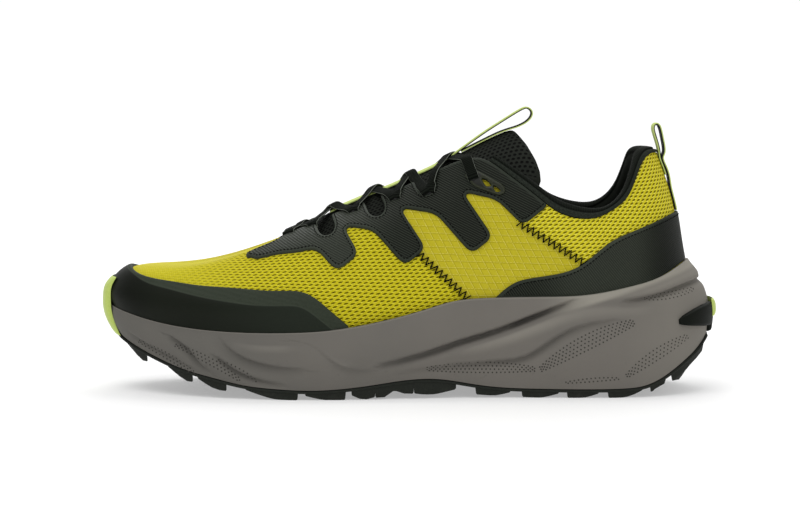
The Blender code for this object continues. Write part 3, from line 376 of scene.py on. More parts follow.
class Shade:
    """Value in a material's node tree; arithmetic on it adds Math nodes."""

    def __init__(self, tree, socket=None):
        self.tree = tree
        self.socket = socket

    def node(self, kind, settings, sockets, output=0):
        """Any node, from its type, its settings and the values or links of its sockets."""
        made = self.tree.nodes.new("ShaderNode" + kind)
        for key, value in settings.items():
            setattr(made, key, value)
        for key, value in sockets.items():
            if isinstance(value, Shade):
                self.tree.links.new(value.socket, made.inputs[key])
            else:
                made.inputs[key].default_value = value
        return Shade(self.tree, made.outputs[output])

    def math(self, operation, *others):
        return self.node("Math", {"operation": operation}, dict(enumerate((self,) + others)))

    def __add__(self, other):
        return self.math("ADD", other)

    def __sub__(self, other):
        return self.math("SUBTRACT", other)

    def __rsub__(self, other):
        return self.node("Math", {"operation": "SUBTRACT"}, {0: other, 1: self})

    def __mul__(self, other):
        return self.math("MULTIPLY", other)

    def __truediv__(self, other):
        return self.math("DIVIDE", other)

    __radd__ = __add__
    __rmul__ = __mul__

    def step(self, low, high):
        """Soft step from 0 at low to 1 at high."""
        sockets = {"Value": self, "From Min": low, "From Max": high}
        return self.node("MapRange", {"interpolation_type": "SMOOTHSTEP"}, sockets)

    def blend(self, first, second):
        """Colour that goes from the first to the second as this value goes from 0 to 1."""
        ends = [tone(*c) if isinstance(c, tuple) and len(c) == 3 else c for c in (first, second)]
        return self.node("Mix", {"data_type": "RGBA"}, {0: self, 6: ends[0], 7: ends[1]}, 2)

    def coats(self, *layers):
        """This colour with further tones laid over it, each by its mask."""
        colour = self
        for mask, over in layers:
            colour = mask.blend(colour, over)
        return colour

    def parts(self, vector, count, scale=1.0):
        """First parts of a vector, scaled."""
        split = self.node("SeparateXYZ", {}, {0: vector}).socket.node
        found = [Shade(self.tree, split.outputs[k]) for k in range(count)]
        return found if scale == 1.0 else [part * scale for part in found]

    def object_mm(self):
        """Place on the object in millimetres: x, y, z."""
        return self.parts(self.node("TexCoord", {}, {}, 3), 3, 1000.0)

    def flat_map(self, name):
        """Two measures of a flat map of the surface."""
        return self.parts(self.node("UVMap", {"uv_map": name}, {}), 2)

    def measure(self, name):
        """One measure kept on the surface."""
        return self.node("Attribute", {"attribute_name": name}, {}, 2)

    def cloud(self, x, y, z, scale, detail=2.0):
        """Soft noise from 0 to 1 at a place."""
        spot = self.node("CombineXYZ", {}, {0: x, 1: y, 2: z})
        return self.node("TexNoise", {}, {"Vector": spot, "Scale": scale, "Detail": detail})

    def wave(self, length):
        """Wave from 0 to 1 and back over a length."""
        return (self * (2 * math.pi / length)).math("SINE") * 0.5 + 0.5

    def tooth(self):
        """Fall from 1 to 0 and rise to 1 again over each whole number."""
        return (self.math("FRACT") - 0.5).math("ABSOLUTE")


def finish(name, draw, roughness=0.7, **constant):
    """Material whose draw function returns colour, roughness and bump height in millimetres."""
    material = bpy.data.materials.new(name)
    material.use_nodes = True
    tree = material.node_tree
    coat = tree.nodes["Principled BSDF"]
    coat.inputs["Roughness"].default_value = roughness
    for key, value in constant.items():
        coat.inputs[key.replace("_", " ")].default_value = value
    colour, rough, bump = draw(Shade(tree))
    tree.links.new(colour.socket, coat.inputs["Base Color"])
    if rough is not None:
        tree.links.new(rough.socket, coat.inputs["Roughness"])
    if bump is not None:
        relief = bump.node("Bump", {}, {"Height": bump, "Distance": MM, "Strength": 1.0})
        tree.links.new(relief.socket, coat.inputs["Normal"])
    return material


def oval_holes(u, v, pitch, row, slant, long, high):
    """Slanted ovals in rows that each step back by a third of the pitch, 1 in the middle of each."""
    lane = (v / row).math("FLOOR")
    x = ((u / pitch + lane * 0.31).math("FRACT") - 0.5) * pitch
    y = ((v / row).math("FRACT") - 0.5) * row - x * slant
    x, y = x / long, y / high
    return (x * x + y * y).step(1.35, 0.35)


SEAM_FRONT = ((8.0, 64.6), (27.5, 47.2))
SEAM_REAR = ((46.0, 86.5), (84.0, 63.2))


def beyond(x, z, line):
    """Signed distance of a side view place from a straight seam, towards the heel."""
    (x0, z0), (x1, z1) = line
    size = math.hypot(x1 - x0, z1 - z0)
    return (x - x0) * ((z0 - z1) / size) + (z - z0) * ((x1 - x0) / size)


FRONT_OVALS = (3.0, 1.78, 0.30)
HEEL_OVALS = (2.86, 1.82, 0.36)
RIP_WIDTH = 3.7
RIP_HEIGHT = 3.2


def knit(shade):
    x, y, z = shade.object_mm()
    u, v = shade.flat_map("cloth")
    arc, rise = shade.flat_map("heel")
    wave = shade.cloud(u * 0.02, v * 0.02, 0.0, 3.0)
    mottle = shade.cloud(u * 0.1, v * 0.1, 0.0, 6.0, 3.0)
    flank = shade.measure("crest").step(2.0, 9.0)
    open_knit = x.step(-132.0, -72.0) * flank
    along, over = u + wave * 1.2, v + u * 0.035
    hole = oval_holes(along, over, *FRONT_OVALS, 1.04, 0.37) * (open_knit * 0.85 + 0.12) * flank
    glint = oval_holes(along + 0.6, over + 0.89, *FRONT_OVALS, 1.3, 0.34) * flank
    fine = u.wave(0.95)
    rear = oval_holes(arc, rise, *HEEL_OVALS, 1.10, 0.40)
    rear_glint = oval_holes(arc + 0.5, rise + 0.91, *HEEL_OVALS, 1.3, 0.36)
    behind = beyond(x, z, SEAM_REAR).step(-0.25, 0.25) * x.step(50.4, 50.8)
    middle = beyond(x, z, SEAM_FRONT).step(-0.25, 0.25) * (1.0 - behind)
    slanted = ((x + z * 0.52) / RIP_WIDTH).math("FRACT") - 0.5
    level = ((z + x * 0.03) / RIP_HEIGHT).math("FRACT") - 0.5

    def threads(shift, width, other_width):
        one, two = (slanted - shift, level + shift) if shift else (slanted, level)
        upright, flat = one.math("ABSOLUTE").step(width, 0.0), two.math("ABSOLUTE").step(other_width, 0.0)
        return upright.math("MAXIMUM", flat)

    # The ripstop's grid threads are painted lighter as a painted highlight, and a painted shadow line runs
    # beside each.
    lines = threads(0.0, 0.07, 0.06)
    lines = lines * ((x * 3.9).math("SINE") * (z * 3.3).math("SINE")).step(-0.9, 0.4)
    shadow = threads(0.13, 0.08, 0.08)
    weave = (x * 9.0).math("SINE") * (z * 9.0).math("SINE")
    front_tone = hole.blend((glint * 0.75).blend((196, 185, 26), (224, 213, 68)), (82, 71, 0))
    front_tone = ((1.0 - open_knit) * 0.7).blend(front_tone, fine.blend((192, 182, 36), (208, 199, 54)))
    rear_tone = (rear * 0.95).blend((rear_glint * 0.9).blend((214, 202, 38), (238, 228, 90)), (98, 86, 0))
    rip_tone = (lines * 0.85).blend((shadow * 0.55).blend((188, 176, 42), (132, 120, 8)), (222, 211, 104))
    colour = behind.blend(middle.blend(front_tone, rip_tone), rear_tone).coats(
        (mottle.step(0.35, 0.75) * 0.22, (160, 148, 14)),
        (shade.measure("lining").step(0.4, 0.6), mottle.blend((18, 20, 17), (32, 35, 30))),
    )
    knit_bump = (glint * 0.22 - hole * 0.55 + fine * (1.0 - open_knit) * 0.10) * (1.0 - middle)
    heel_bump = rear_glint * 0.28 - rear * 0.6
    bump = knit_bump * (1.0 - behind) + middle * (lines * 0.10 + weave * 0.015) + behind * heel_bump
    return colour, 0.62 + hole * 0.2, bump


def pairs(first, second):
    """Flat map that pairs the values of two grids."""
    return np.stack(np.broadcast_arrays(first, second), -1).reshape(-1, 2)


UPPER_LOOP = 460
UPPER_ROWS = 85
UNCUT_SHARE = 0.6
NOTCH_MARGIN = 1.2
upper_knit = finish("upper_knit", knit, Specular_IOR_Level=0.04)
loop = np.arange(UPPER_LOOP) / UPPER_LOOP
rows = np.linspace(0, 1, UPPER_ROWS)
outer, inner = (on_skin(loop[:, None], rows, offset) for offset in (0.0, -WALL))
middles = on_skin((loop + 0.5 / UPPER_LOOP)[:, None], (rows[:-1] + rows[1:]) / 2)
keep = (notch_depth(middles[..., 0], middles[..., 2], NOTCH_MARGIN) < 0) | (rows[1:] < UNCUT_SHARE)
arc = walked(on_skin(loop, 0.5))
rise = np.stack([walked(section) for section in outer])
cloth = cloth_map(outer).reshape(-1, 2)
crest = np.abs(cloth[:, 1])
outer_side = cloth[:, 1] < 0
for sign, side in ((-1, outer_side), (1, ~outer_side)):
    cloth[side, 1] -= sign * np.interp(cloth[side, 0], GIRTH_X, level_arc[sign])
points, faces = shell(outer, inner, True, keep)
used, faces = np.unique(faces, return_inverse=True)
maps = {
    "cloth": np.tile(cloth, (2, 1)), "heel": np.tile(pairs(arc[:, None], rise + outer[:, :1, 2]), (2, 1)),
    "crest": np.tile(crest, 2), "lining": np.repeat((0.0, 1.0), len(crest)),
}
piece(
    "upper_shell", (points[used], faces.reshape(-1, 4).tolist()), upper_knit, "upper_mesh", "upper",
    {name: values[used] for name, values in maps.items()},
)

# Midsole: one thick block of light foam moulded as a cup, with a rim round the upper and a side of
# flowing creases and ridges. Cemented to the upper, with bands of small moulded pits along the flows.
CUP_GAP = 0.5
RIM_WIDTH = 2.2
FOOTBED_GAP = 0.35
RIM_LINE = table(
    "x        z",
    (-148.0, 42.2), (-141.0, 40.2), (-130.0, 37.2), (-115.0, 34.2), (-97.0, 32.2), (-62.0, 31.5),
    (-36.0, 33.0), (-10.0, 37.8), (8.0, 42.6), (20.0, 46.0), (33.0, 47.3), (66.0, 47.8),
    (85.0, 48.7), (104.0, 52.3), (122.0, 58.0), (131.0, 62.6), (138.0, 65.0),
)
SOLE_LINE = table(
    "x        z",
    (-146.0, 28.9), (-137.0, 24.5), (-124.0, 18.9), (-108.0, 13.2), (-92.0, 9.4), (-79.0, 6.7),
    (-65.0, 5.3), (-52.0, 4.6), (-33.0, 5.2), (-17.0, 7.0), (-2.0, 9.0), (14.0, 9.2),
    (31.0, 6.5), (44.0, 5.0), (60.0, 4.4), (90.0, 4.2), (103.0, 4.5), (110.0, 5.2),
    (117.0, 7.4), (124.0, 11.2), (131.0, 16.0), (138.0, 21.2), (145.0, 28.0),
)
SOLE_FLARE = table(
    "s      foot_outer foot_inner swell",
    (0.00, 0.6, 0.6, 1.5),
    (0.06, 1.2, 1.2, 1.8),
    (0.13, 3.0, 3.0, 2.2),
    (0.22, 5.0, 5.0, 2.6),
    (0.34, 6.2, 6.8, 3.0),
    (0.48, 6.2, 6.0, 3.6),
    (0.61, 7.2, 6.0, 4.0),
    (0.74, 10.0, 9.0, 4.4),
    (0.86, 12.0, 11.0, 4.6),
    (0.95, 12.8, 12.4, 4.6),
    (1.00, 12.8, 12.8, 4.6),
)
FLOWS = {
    "sweep_groove": (-3.4, 1.0, 2.6, (
        (79.0, 46.4), (74.6, 44.8), (64.4, 40.9), (52.6, 36.4), (37.9, 31.3), (23.5, 27.2), (9.3, 22.6),
        (-14.4, 16.6))),
    "sweep_tip": (-2.4, 0.8, 1.5, ((78.4, 46.6), (73.0, 44.1), (62.0, 39.9), (48.0, 34.6))),
    "sweep_ridge": (1.7, 2.0, 5.0, (
        (114.0, 42.6), (101.0, 42.6), (87.4, 42.3), (76.0, 40.3), (61.0, 35.4), (45.0, 29.6), (22.0, 23.0))),
    "arch_groove": (-2.0, 0.8, 3.4, (
        (98.0, 37.0), (78.0, 33.2), (69.5, 29.0), (61.5, 23.6), (52.5, 19.2), (42.5, 17.8), (21.0, 16.0),
        (-2.0, 12.8))),
    "heel_crease": (-3.2, 0.9, 2.0, (
        (144.0, 54.2), (136.0, 53.0), (122.8, 49.5), (110.5, 46.8), (102.0, 45.6))),
    "heel_lip": (2.2, 3.4, 2.2, ((142.0, 58.4), (130.0, 55.8), (116.0, 51.8), (98.0, 48.4), (82.0, 46.6))),
    "toe_groove": (-1.7, 0.7, 2.6, ((-137.0, 29.4), (-127.5, 24.3), (-115.5, 19.0), (-103.0, 13.0))),
    "front_groove": (-2.0, 0.7, 3.2, ((-116.5, 29.3), (-106.0, 22.6), (-99.4, 15.4), (-95.0, 12.6))),
    "ball_groove": (-2.4, 0.8, 2.4, ((-92.0, 19.8), (-84.0, 14.0), (-73.5, 9.7), (-60.0, 7.0))),
    "vamp_groove": (-1.6, 0.7, 5.0, (
        (-92.6, 31.4), (-88.5, 26.2), (-81.5, 21.0), (-70.0, 17.0), (-50.0, 14.6))),
    "wave_ridge": (1.2, 1.4, 3.4, (
        (-85.0, 27.0), (-62.0, 25.4), (-46.5, 25.0), (-38.0, 19.6), (-28.0, 16.0))),
    "wave_groove": (-1.4, 0.7, 3.4, (
        (-58.0, 28.0), (-46.5, 25.6), (-39.5, 20.4), (-33.0, 16.0), (-18.0, 14.0))),
}
FLOW_POINTS = 90


def side_relief(x, z):
    """Rise and fall of the midsole's side; each flow has a depth, a reach above its line and one below."""
    total = np.zeros_like(x)
    for depth, above, below, places in FLOWS.values():
        line = smooth_line(np.array(places), FLOW_POINTS)
        along = np.gradient(line, axis=0)
        gap = (x[..., None] - line[:, 0]) ** 2 + (z[..., None] - line[:, 1]) ** 2
        near = gap.argmin(axis=-1)
        side = along[near, 0] * (z - line[near, 1]) - along[near, 1] * (x - line[near, 0])
        width = np.where(side * np.sign(along[near, 0]) > 0, above, below)
        fade = np.sin(math.pi * (near + 1) / (FLOW_POINTS + 1)) ** 0.3
        total += depth * fade * np.exp(-gap.min(axis=-1) / width**2)
    return total


def sole_edge(u, reach=0.0):
    """Lower edge of the midsole."""
    foot = around(SOLE_FLARE, "foot_outer", "foot_inner", u)
    edge = loop_points(FEATHER, u) + outward(u) * (foot + reach)[:, None]
    edge[:, 2] = height(SOLE_LINE, edge[:, 0])
    return edge


def sole_side(u, share):
    """Outside of the midsole, from its rim (share 0) to its lower edge (share 1)."""
    away = outward(u)[:, None]
    rim = on_skin(u, crossing(u, RIM_LINE))[:, None] + away * (CUP_GAP + RIM_WIDTH)
    share = np.broadcast_to(share, (len(u), np.shape(share)[-1]))[..., None]
    swell = around(SOLE_FLARE, "swell", "swell", u)[:, None, None]
    bulge = np.sin(math.pi * share)
    points = rim * (1 - share) + sole_edge(u)[:, None] * share + away * swell * bulge
    waves = side_relief(points[..., 0], points[..., 2]) * np.clip(bulge[..., 0], 0, 1) ** 0.5
    return points + away * waves[..., None], waves


def loop_faces(levels, n):
    """Faces between stacked loops of n points."""
    base, i = np.arange(levels - 1)[:, None] * n, np.arange(n)
    j = (i + 1) % n
    return np.stack([base + i, base + n + i, base + n + j, base + j], -1).reshape(-1, 4).tolist()


def ring_solid(rings, levels=(None, None), spans=3):
    """Points and faces of stacked loops; both ends are closed by rows from side to side."""
    n = len(rings[0])
    points, faces = list(rings), loop_faces(len(rings), n)
    count = len(rings) * n
    for last, level in zip((False, True), levels):
        first = (len(rings) - 1) * n if last else 0
        ring = rings[-1 if last else 0]
        rows = [[first]]
        for i in range(1, n // 2):
            share = np.linspace(0, 1, spans + 2)[1:-1, None]
            across = ring[i] * (1 - share) + ring[n - i] * share
            if level is not None:
                across[:, 2] = level(across)
            points.append(across)
            rows.append([first + i] + list(range(count, count + spans)) + [first + n - i])
            count += spans
        rows.append([first + n // 2])
        for low, high in zip(rows, rows[1:]):
            low = low * len(high) if len(low) == 1 else low
            high = high * len(low) if len(high) == 1 else high
            for k in range(len(low) - 1):
                corners = tuple(dict.fromkeys((low[k], high[k], high[k + 1], low[k + 1])))
                faces.append(corners[::-1] if last else corners)
    return np.concatenate(points), faces


def foam(shade):
    x, y, z = shade.object_mm()
    pores = shade.cloud(x, y, z, 2.2)
    rub = shade.cloud(x, y, z, 0.35, 4.0).step(0.62, 0.78) * z.step(30.0, 8.0)
    tint = x.step(-140.0, 60.0) * 0.7 + shade.cloud(x, y, z, 0.03, 3.0).step(0.3, 0.7) * 0.3
    wave = shade.measure("wave")
    # The upward face of the heel lip is painted lighter: a painted highlight.
    lip = (z - x * 0.31 - 16.4).step(0.0, 2.6) * x.step(58.0, 92.0)
    # The side relief's grooves are painted darker as painted shade, and its ridges lighter as a painted
    # highlight, from the kept relief values.
    colour = tint.blend((98, 96, 91), (111, 107, 101)).coats(
        (wave.step(-0.3, -2.6) * 0.55, (60, 58, 55)), (wave.step(0.3, 2.0) * 0.75, (140, 136, 127)),
        (lip * 0.75, (156, 152, 141)), (x.step(92.0, 134.0) * 0.4, (134, 130, 121)),
        (rub * 0.3, (84, 81, 77)),
    )
    return colour, 0.66 + pores * 0.12, pores * 0.05


SOLE_LOOP = 640
SOLE_ROWS = 108
CUP_LEVELS = (0.3, 0.65, 0.96)
LIP_SHARE = 0.55
LIP_RISE = 0.5
LIP_GLEAM = 1.3
LIP_FADE = 0.02
midsole_foam = finish("midsole_foam", foam, Specular_IOR_Level=0.15)
loop = np.arange(SOLE_LOOP) / SOLE_LOOP
rim = crossing(loop, RIM_LINE)
bed = loop_points(FEATHER, loop) + outward(loop) * CUP_GAP
bed[:, 2] -= FOOTBED_GAP
cup = [on_skin(loop, rim * share, CUP_GAP) for share in CUP_LEVELS]
rows = np.linspace(0, 1, SOLE_ROWS)
side, waves = sole_side(loop, rows[None, :])
lip = cup[-1] * (1 - LIP_SHARE) + side[:, 0] * LIP_SHARE + np.array([0, 0, LIP_RISE])
above = [bed] + cup + [lip]
rings = above + list(np.moveaxis(side, 1, 0))
shape = ring_solid(rings, (None, lambda p: height(SOLE_LINE, p[:, 0])))
wave = np.zeros(len(shape[0]))
# A painted highlight along the midsole's rim: the side's top rows get raised relief values, which foam()
# paints lighter.
waves = waves + LIP_GLEAM * np.exp(-(rows / LIP_FADE) ** 2)
wave[SOLE_LOOP * len(above):SOLE_LOOP * len(rings)] = waves.T.ravel()
piece("midsole_block", shape, midsole_foam, "midsole_foam", "midsole", {"wave": wave})
PITS = table(
    "x0 z0 x1 z1 lanes gap bend",
    (-131.0, 25.0, -102.0, 10.8, 3, 1.5, -1.2),
    (-112.0, 24.6, -80.0, 8.6, 3, 1.5, -1.6),
    (-91.0, 18.4, -72.0, 8.4, 2, 1.5, -0.8),
    (8.0, 14.4, 60.0, 14.0, 4, 1.6, -0.6),
    (62.0, 14.0, 107.0, 36.4, 5, 1.7, -1.8),
    (103.0, 10.6, 134.0, 28.6, 4, 1.7, -1.4),
    (74.0, 7.4, 100.0, 9.4, 2, 1.6, -0.4),
    (112.0, 46.8, 138.0, 50.4, 3, 1.4, 0.4),
)


def found_tree(points):
    """Search tree of some points."""
    tree = KDTree(len(points))
    for k, p in enumerate(points):
        tree.insert(Vector(p), k)
    tree.balance()
    return tree


def side_run(sign, first, last, count):
    """Loop shares along the outer (-1) or inner (1) side, front to back."""
    share = np.linspace(first, last, count)
    return share if sign < 0 else 1 - share


def side_places(x, z, sign):
    """Places and directions on the midsole's side at side view spots."""
    grid, _ = sole_side(side_run(sign, 0.02, 0.48, 400), np.linspace(0, 1, 60)[None, :])
    flat = grid.reshape(-1, 3)
    tree = found_tree(flat * (1, 0, 1))
    normal = unit(np.cross(np.gradient(grid, axis=0), np.gradient(grid, axis=1)).reshape(-1, 3) * sign)
    found = [tree.find(Vector((a, 0.0, b)))[1] for a, b in zip(x, z)]
    spots, away = flat[found].copy(), normal[found]
    spots[:, 1] -= (away[:, 0] * (x - spots[:, 0]) + away[:, 2] * (z - spots[:, 2])) / away[:, 1]
    spots[:, 0], spots[:, 2] = x, z
    return spots, away


def node_group(name, sizes):
    """Empty geometry tree with named inputs, its input sockets and the two calls that fill and end it."""
    tree = bpy.data.node_groups.new(name, "GeometryNodeTree")
    for way in ("INPUT", "OUTPUT"):
        tree.interface.new_socket("Geometry", in_out=way, socket_type="NodeSocketGeometry")
    for label in sizes.split():
        tree.interface.new_socket(label, in_out="INPUT", socket_type="NodeSocketFloat")
    tree.interface.new_socket("Finish", in_out="INPUT", socket_type="NodeSocketMaterial")
    given, end = tree.nodes.new("NodeGroupInput").outputs, tree.nodes.new("NodeGroupOutput")

    def add(kind, sockets, **settings):
        made = tree.nodes.new(kind if "Node" in kind else "GeometryNode" + kind)
        for key, value in settings.items():
            setattr(made, key, value)
        for key, value in sockets.items():
            if isinstance(value, bpy.types.NodeSocket):
                tree.links.new(value, made.inputs[key])
            else:
                made.inputs[key].default_value = value
        return made.outputs[0]

    def close(geometry):
        whole = add("RealizeInstances", {0: geometry})
        tree.links.new(add("SetMaterial", {0: whole, "Material": given["Finish"]}), end.inputs[0])

    return tree, given, add, close


def grow(name, tree, points, edges, away, values, slot):
    """Piece that a geometry tree makes from a line or a set of points."""
    mesh = bpy.data.meshes.new(name)
    mesh.from_pydata((np.asarray(points) * MM).tolist(), edges, [])
    directions = mesh.attributes.new("away", "FLOAT_VECTOR", "POINT").data
    directions.foreach_set("vector", np.asarray(away, float).ravel())
    guide = linked(name + "_guide", mesh)
    step = guide.modifiers.new("tree", "NODES")
    step.node_group = tree
    names = {s.name: s.identifier for s in tree.interface.items_tree if s.in_out == "INPUT"}
    for label, value in values.items():
        step[names[label]] = value
    view = bpy.context.evaluated_depsgraph_get()
    made = bpy.data.meshes.new_from_object(guide.evaluated_get(view), depsgraph=view)
    bpy.data.objects.remove(guide, do_unlink=True)
    made.name = name
    made.shade_smooth()
    ridden(name, made, slot)


pit_tree, given, add, close = node_group("moulded_pits", "Radius Depth")
bead = add("MeshUVSphere", {"Segments": 8, "Rings": 5, "Radius": given["Radius"]})
flat = add("ShaderNodeCombineXYZ", {0: 1.0, 1: 1.0, 2: given["Depth"]})
low_bead = add("Transform", {0: bead, "Scale": flat})
away = add("InputNamedAttribute", {"Name": "away"}, data_type="FLOAT_VECTOR")
turn = add("FunctionNodeAlignRotationToVector", {"Vector": away}, axis="Z")
dots = add("MeshToPoints", {0: given[0]})
close(add("InstanceOnPoints", {"Points": dots, "Instance": low_bead, "Rotation": turn}))


def grained(scale, detail, first, second, rough=None, bump=0.0):
    """Draw function of a plain moulding: two tones in a grain that may also move roughness and relief."""
    def draw(shade):
        grain = shade.cloud(*shade.object_mm(), scale, detail)
        roughness = rough[0] + grain * rough[1] if rough else None
        return grain.blend(first, second), roughness, grain * bump if bump else None
    return draw


PIT_PITCH = 2.0
PIT_RADIUS = 0.42
PIT_DEPTH = 0.28
PIT_MARGIN = 0.07
# The pits are small dark beads on the foam; their colour is painted shade standing for the moulded dimples.
pit_grain = grained(0.8, 2.0, (56, 54, 51), (72, 70, 66))
pit_finish = finish("pit_shadow", pit_grain, 0.85, Specular_IOR_Level=0.05)
xs, zs = [], []
for x0, z0, x1, z1, lanes, gap, bend in columns(PITS, "x0 z0 x1 z1 lanes gap bend"):
    size = math.hypot(x1 - x0, z1 - z0)
    count = int(size / PIT_PITCH)
    for lane in range(int(lanes)):
        share = (np.arange(count) + 0.5 * (lane % 2)) / count
        taper = np.sin(math.pi * np.clip(share * (1 - 2 * PIT_MARGIN) + PIT_MARGIN, 0, 1)) ** 0.7
        drop = (lane - (lanes - 1) / 2) * gap * taper + bend * 4 * share * (1 - share)
        xs.append(x0 + (x1 - x0) * share + (z1 - z0) / size * drop)
        zs.append(z0 + (z1 - z0) * share - (x1 - x0) / size * drop)
places = [side_places(np.concatenate(xs), np.concatenate(zs), sign) for sign in (-1, 1)]
spots, aways = (np.concatenate(part) for part in zip(*places))
sizes = {"Radius": PIT_RADIUS * MM, "Depth": PIT_DEPTH, "Finish": pit_finish}
grow("midsole_pits", pit_tree, spots, [], aways, sizes, "midsole_foam")

# Outsole: black rubber sheet moulded with lugs along both sides and down the middle, cemented under
# the foam. The lugs have drafted walls and worn lower edges.
SHEET_GAP = 0.4
SHEET = 1.2
LUG_WIDTH = 15.0
LUG_SKEW = 2.5
LUG_STEP = 2.5
LUG_ROOT = 0.6
LUG_BACK = 0.2
LUG_SHARE = 0.72
LUG_TAPER = 0.8
LUG_LEAN = 0.4
LUG_ARROW = 0.275
LUG_EDGE = ((0.25, 0.9), (0.45, 0.35), (0.9, 0.0))
SHEET_LOOP = 360
WORN_FROM = 0.5
WORN_LIFT = 1.9
TREAD_LINE = table(
    "x        z",
    (-146.0, 24.4), (-136.0, 19.4), (-127.0, 15.6), (-114.0, 10.6), (-106.0, 8.0), (-94.0, 4.9),
    (-78.0, 2.4), (-64.0, 0.4), (-56.0, 0.0), (-24.0, 0.0), (-17.0, 0.8), (-12.0, 3.0),
    (-3.0, 3.4), (2.0, 2.4), (20.0, 2.2), (36.0, 1.2), (52.0, 0.4), (60.0, 0.0), (100.0, 0.0),
    (106.0, 0.4), (113.0, 1.8), (118.5, 4.4), (124.5, 6.8), (131.0, 10.6), (138.0, 15.4), (145.0, 21.4),
)
SIDE_LUGS = table(
    "start   end",
    (-138.0, -126.5), (-116.5, -103.5), (-101.5, -87.0), (-78.5, -53.0), (-50.0, -30.5), (-28.0, -16.5),
    (-16.8, 1.8), (1.5, 22.0), (31.0, 48.0), (53.0, 71.0), (74.5, 90.0), (94.0, 111.0),
    (114.5, 122.0), (125.2, 142.5),
)
MIDDLE_LUGS = table(
    "x      y     length width",
    (-116.0, 2.0, 11.0, 15.0), (-94.0, -12.0, 11.0, 13.0), (-94.0, 15.0, 11.0, 13.0),
    (-70.0, -15.0, 12.0, 13.0), (-70.0, 15.0, 12.0, 13.0), (-44.0, -15.0, 12.0, 13.0),
    (-44.0, 14.0, 12.0, 13.0), (-19.0, 0.0, 12.0, 16.0), (40.0, 0.0, 12.0, 14.0),
    (64.0, 0.0, 12.0, 17.0), (86.0, 0.0, 12.0, 17.0), (108.0, 0.0, 12.0, 16.0),
)


def below(points, depth):
    """Points moved square off the sole line by a depth."""
    slope = height(SOLE_LINE, points[:, 0] + 0.5) - height(SOLE_LINE, points[:, 0] - 0.5)
    return points + unit(np.stack([slope, np.zeros(len(points)), -np.ones(len(points))], 1)) * depth


def under_sole(flat, depth):
    """Points seen from above, set a depth below the sole line."""
    return below(np.column_stack([flat, height(SOLE_LINE, flat[:, 0])]), depth)


def turning(line):
    """Twice the area inside a closed flat line, below zero where it runs clockwise."""
    after = np.roll(line, -1, 0)
    return np.sum(line[:, 0] * after[:, 1] - after[:, 0] * line[:, 1])


def capped(rings, ends):
    """Points and faces of stacked loops whose two ends close on a middle point each."""
    levels, n = np.shape(rings)[:2]
    i, last, centre = np.arange(n), (levels - 1) * n, np.full(n, levels * n)
    j = (i + 1) % n
    caps = np.concatenate([np.stack([i, j, centre], 1), np.stack([last + j, last + i, centre + 1], 1)])
    return np.concatenate([*rings, ends]), loop_faces(levels, n) + caps.tolist()


def lug(outline, worn=0):
    """Points and faces of one lug: drafted walls, a rounded lower edge and a worn front (-1) or rear (1)."""
    outline = np.asarray(outline, float)
    middle = outline.mean(axis=0)
    ring = []
    for a, b in zip(outline, np.roll(outline, -1, 0)):
        steps = max(int(np.linalg.norm(b - a) / LUG_STEP), 1)
        ring += [a + (b - a) * k / steps for k in range(steps)]
    ring = np.array(ring)
    share = (ring[:, 0] - ring[:, 0].min()) / np.ptp(ring[:, 0])
    ramp = np.clip(((share if worn > 0 else 1 - share) - WORN_FROM) / (1 - WORN_FROM), 0, 1) * abs(worn)
    floor = np.maximum(height(TREAD_LINE, ring[:, 0]), 0.0) + ramp**1.4 * WORN_LIFT
    levels = [under_sole(ring, SHEET_GAP + LUG_ROOT)]
    for inset, lift in LUG_EDGE:
        levels.append(np.column_stack([ring + unit(middle - ring) * inset, floor + lift]))
    levels.append(np.column_stack([ring + (middle - ring) * 0.5, floor]))
    low = [*middle, max(float(height(TREAD_LINE, middle[0])), 0.0)]
    points, faces = capped(levels, [under_sole(middle[None], SHEET_GAP + LUG_ROOT)[0], low])
    return points, [face[::-1] for face in faces] if turning(ring) < 0 else faces


def join(shapes):
    """Several shapes as one set of points and faces."""
    points, faces, count = [], [], 0
    for some_points, some_faces in shapes:
        points.append(some_points)
        faces += [tuple(i + count for i in face) for face in some_faces]
        count += len(some_points)
    return np.concatenate(points), faces


def tread_rubber(shade):
    x, y, z = shade.object_mm()
    grain = shade.cloud(x, y, z, 1.6, 3.0)
    dust = shade.cloud(x, y, z, 0.12, 4.0).step(0.5, 0.8) * z.step(6.0, 0.5)
    colour = grain.step(0.3, 0.7).blend((24, 27, 22), (34, 37, 31)).coats((dust * 0.2, (82, 82, 76)))
    return colour, 0.62 + grain * 0.2, grain * 0.10


EVEN_LUGS = ((-20.0, 0.0), (110.0, 150.0))
tread = finish("tread_rubber", tread_rubber, Specular_IOR_Level=0.2)
shapes = []
for start, end in columns(SIDE_LUGS, "start end"):
    even = any(low < start < high for low, high in EVEN_LUGS)
    for sign in (-1, 1):
        rim = sole_edge(side_run(sign, 0.01, 0.49, 300), -LUG_BACK)
        along = np.linspace(start, end, max(int((end - start) / LUG_STEP), 3))
        reach = np.interp(along, rim[:, 0], rim[:, 1])
        deep = np.minimum(LUG_WIDTH, LUG_SHARE * np.abs(reach)) * -sign
        outline = list(zip(along, reach)) + [(end - LUG_SKEW, reach[-1] + deep[-1] * LUG_TAPER)]
        outline.append((start + LUG_SKEW * LUG_LEAN, reach[0] + deep[0]))
        shapes.append(lug(outline, 0 if even else math.copysign(1, start)))
for x, y, length, width in columns(MIDDLE_LUGS, "x y length width"):
    front, back, half, tip = x - length / 2, x + length / 2, width / 2, length * LUG_ARROW
    shapes.append(lug([
        (front, y - half), (front - tip, y), (front, y + half),
        (back, y + half), (back - tip, y), (back, y - half),
    ]))
loop = np.arange(SHEET_LOOP) / SHEET_LOOP
edge, out = sole_edge(loop), outward(loop)
levels = ((0.0, 0.0), (0.3, 0.25), (SHEET - 0.3, 0.25), (SHEET, -0.1))
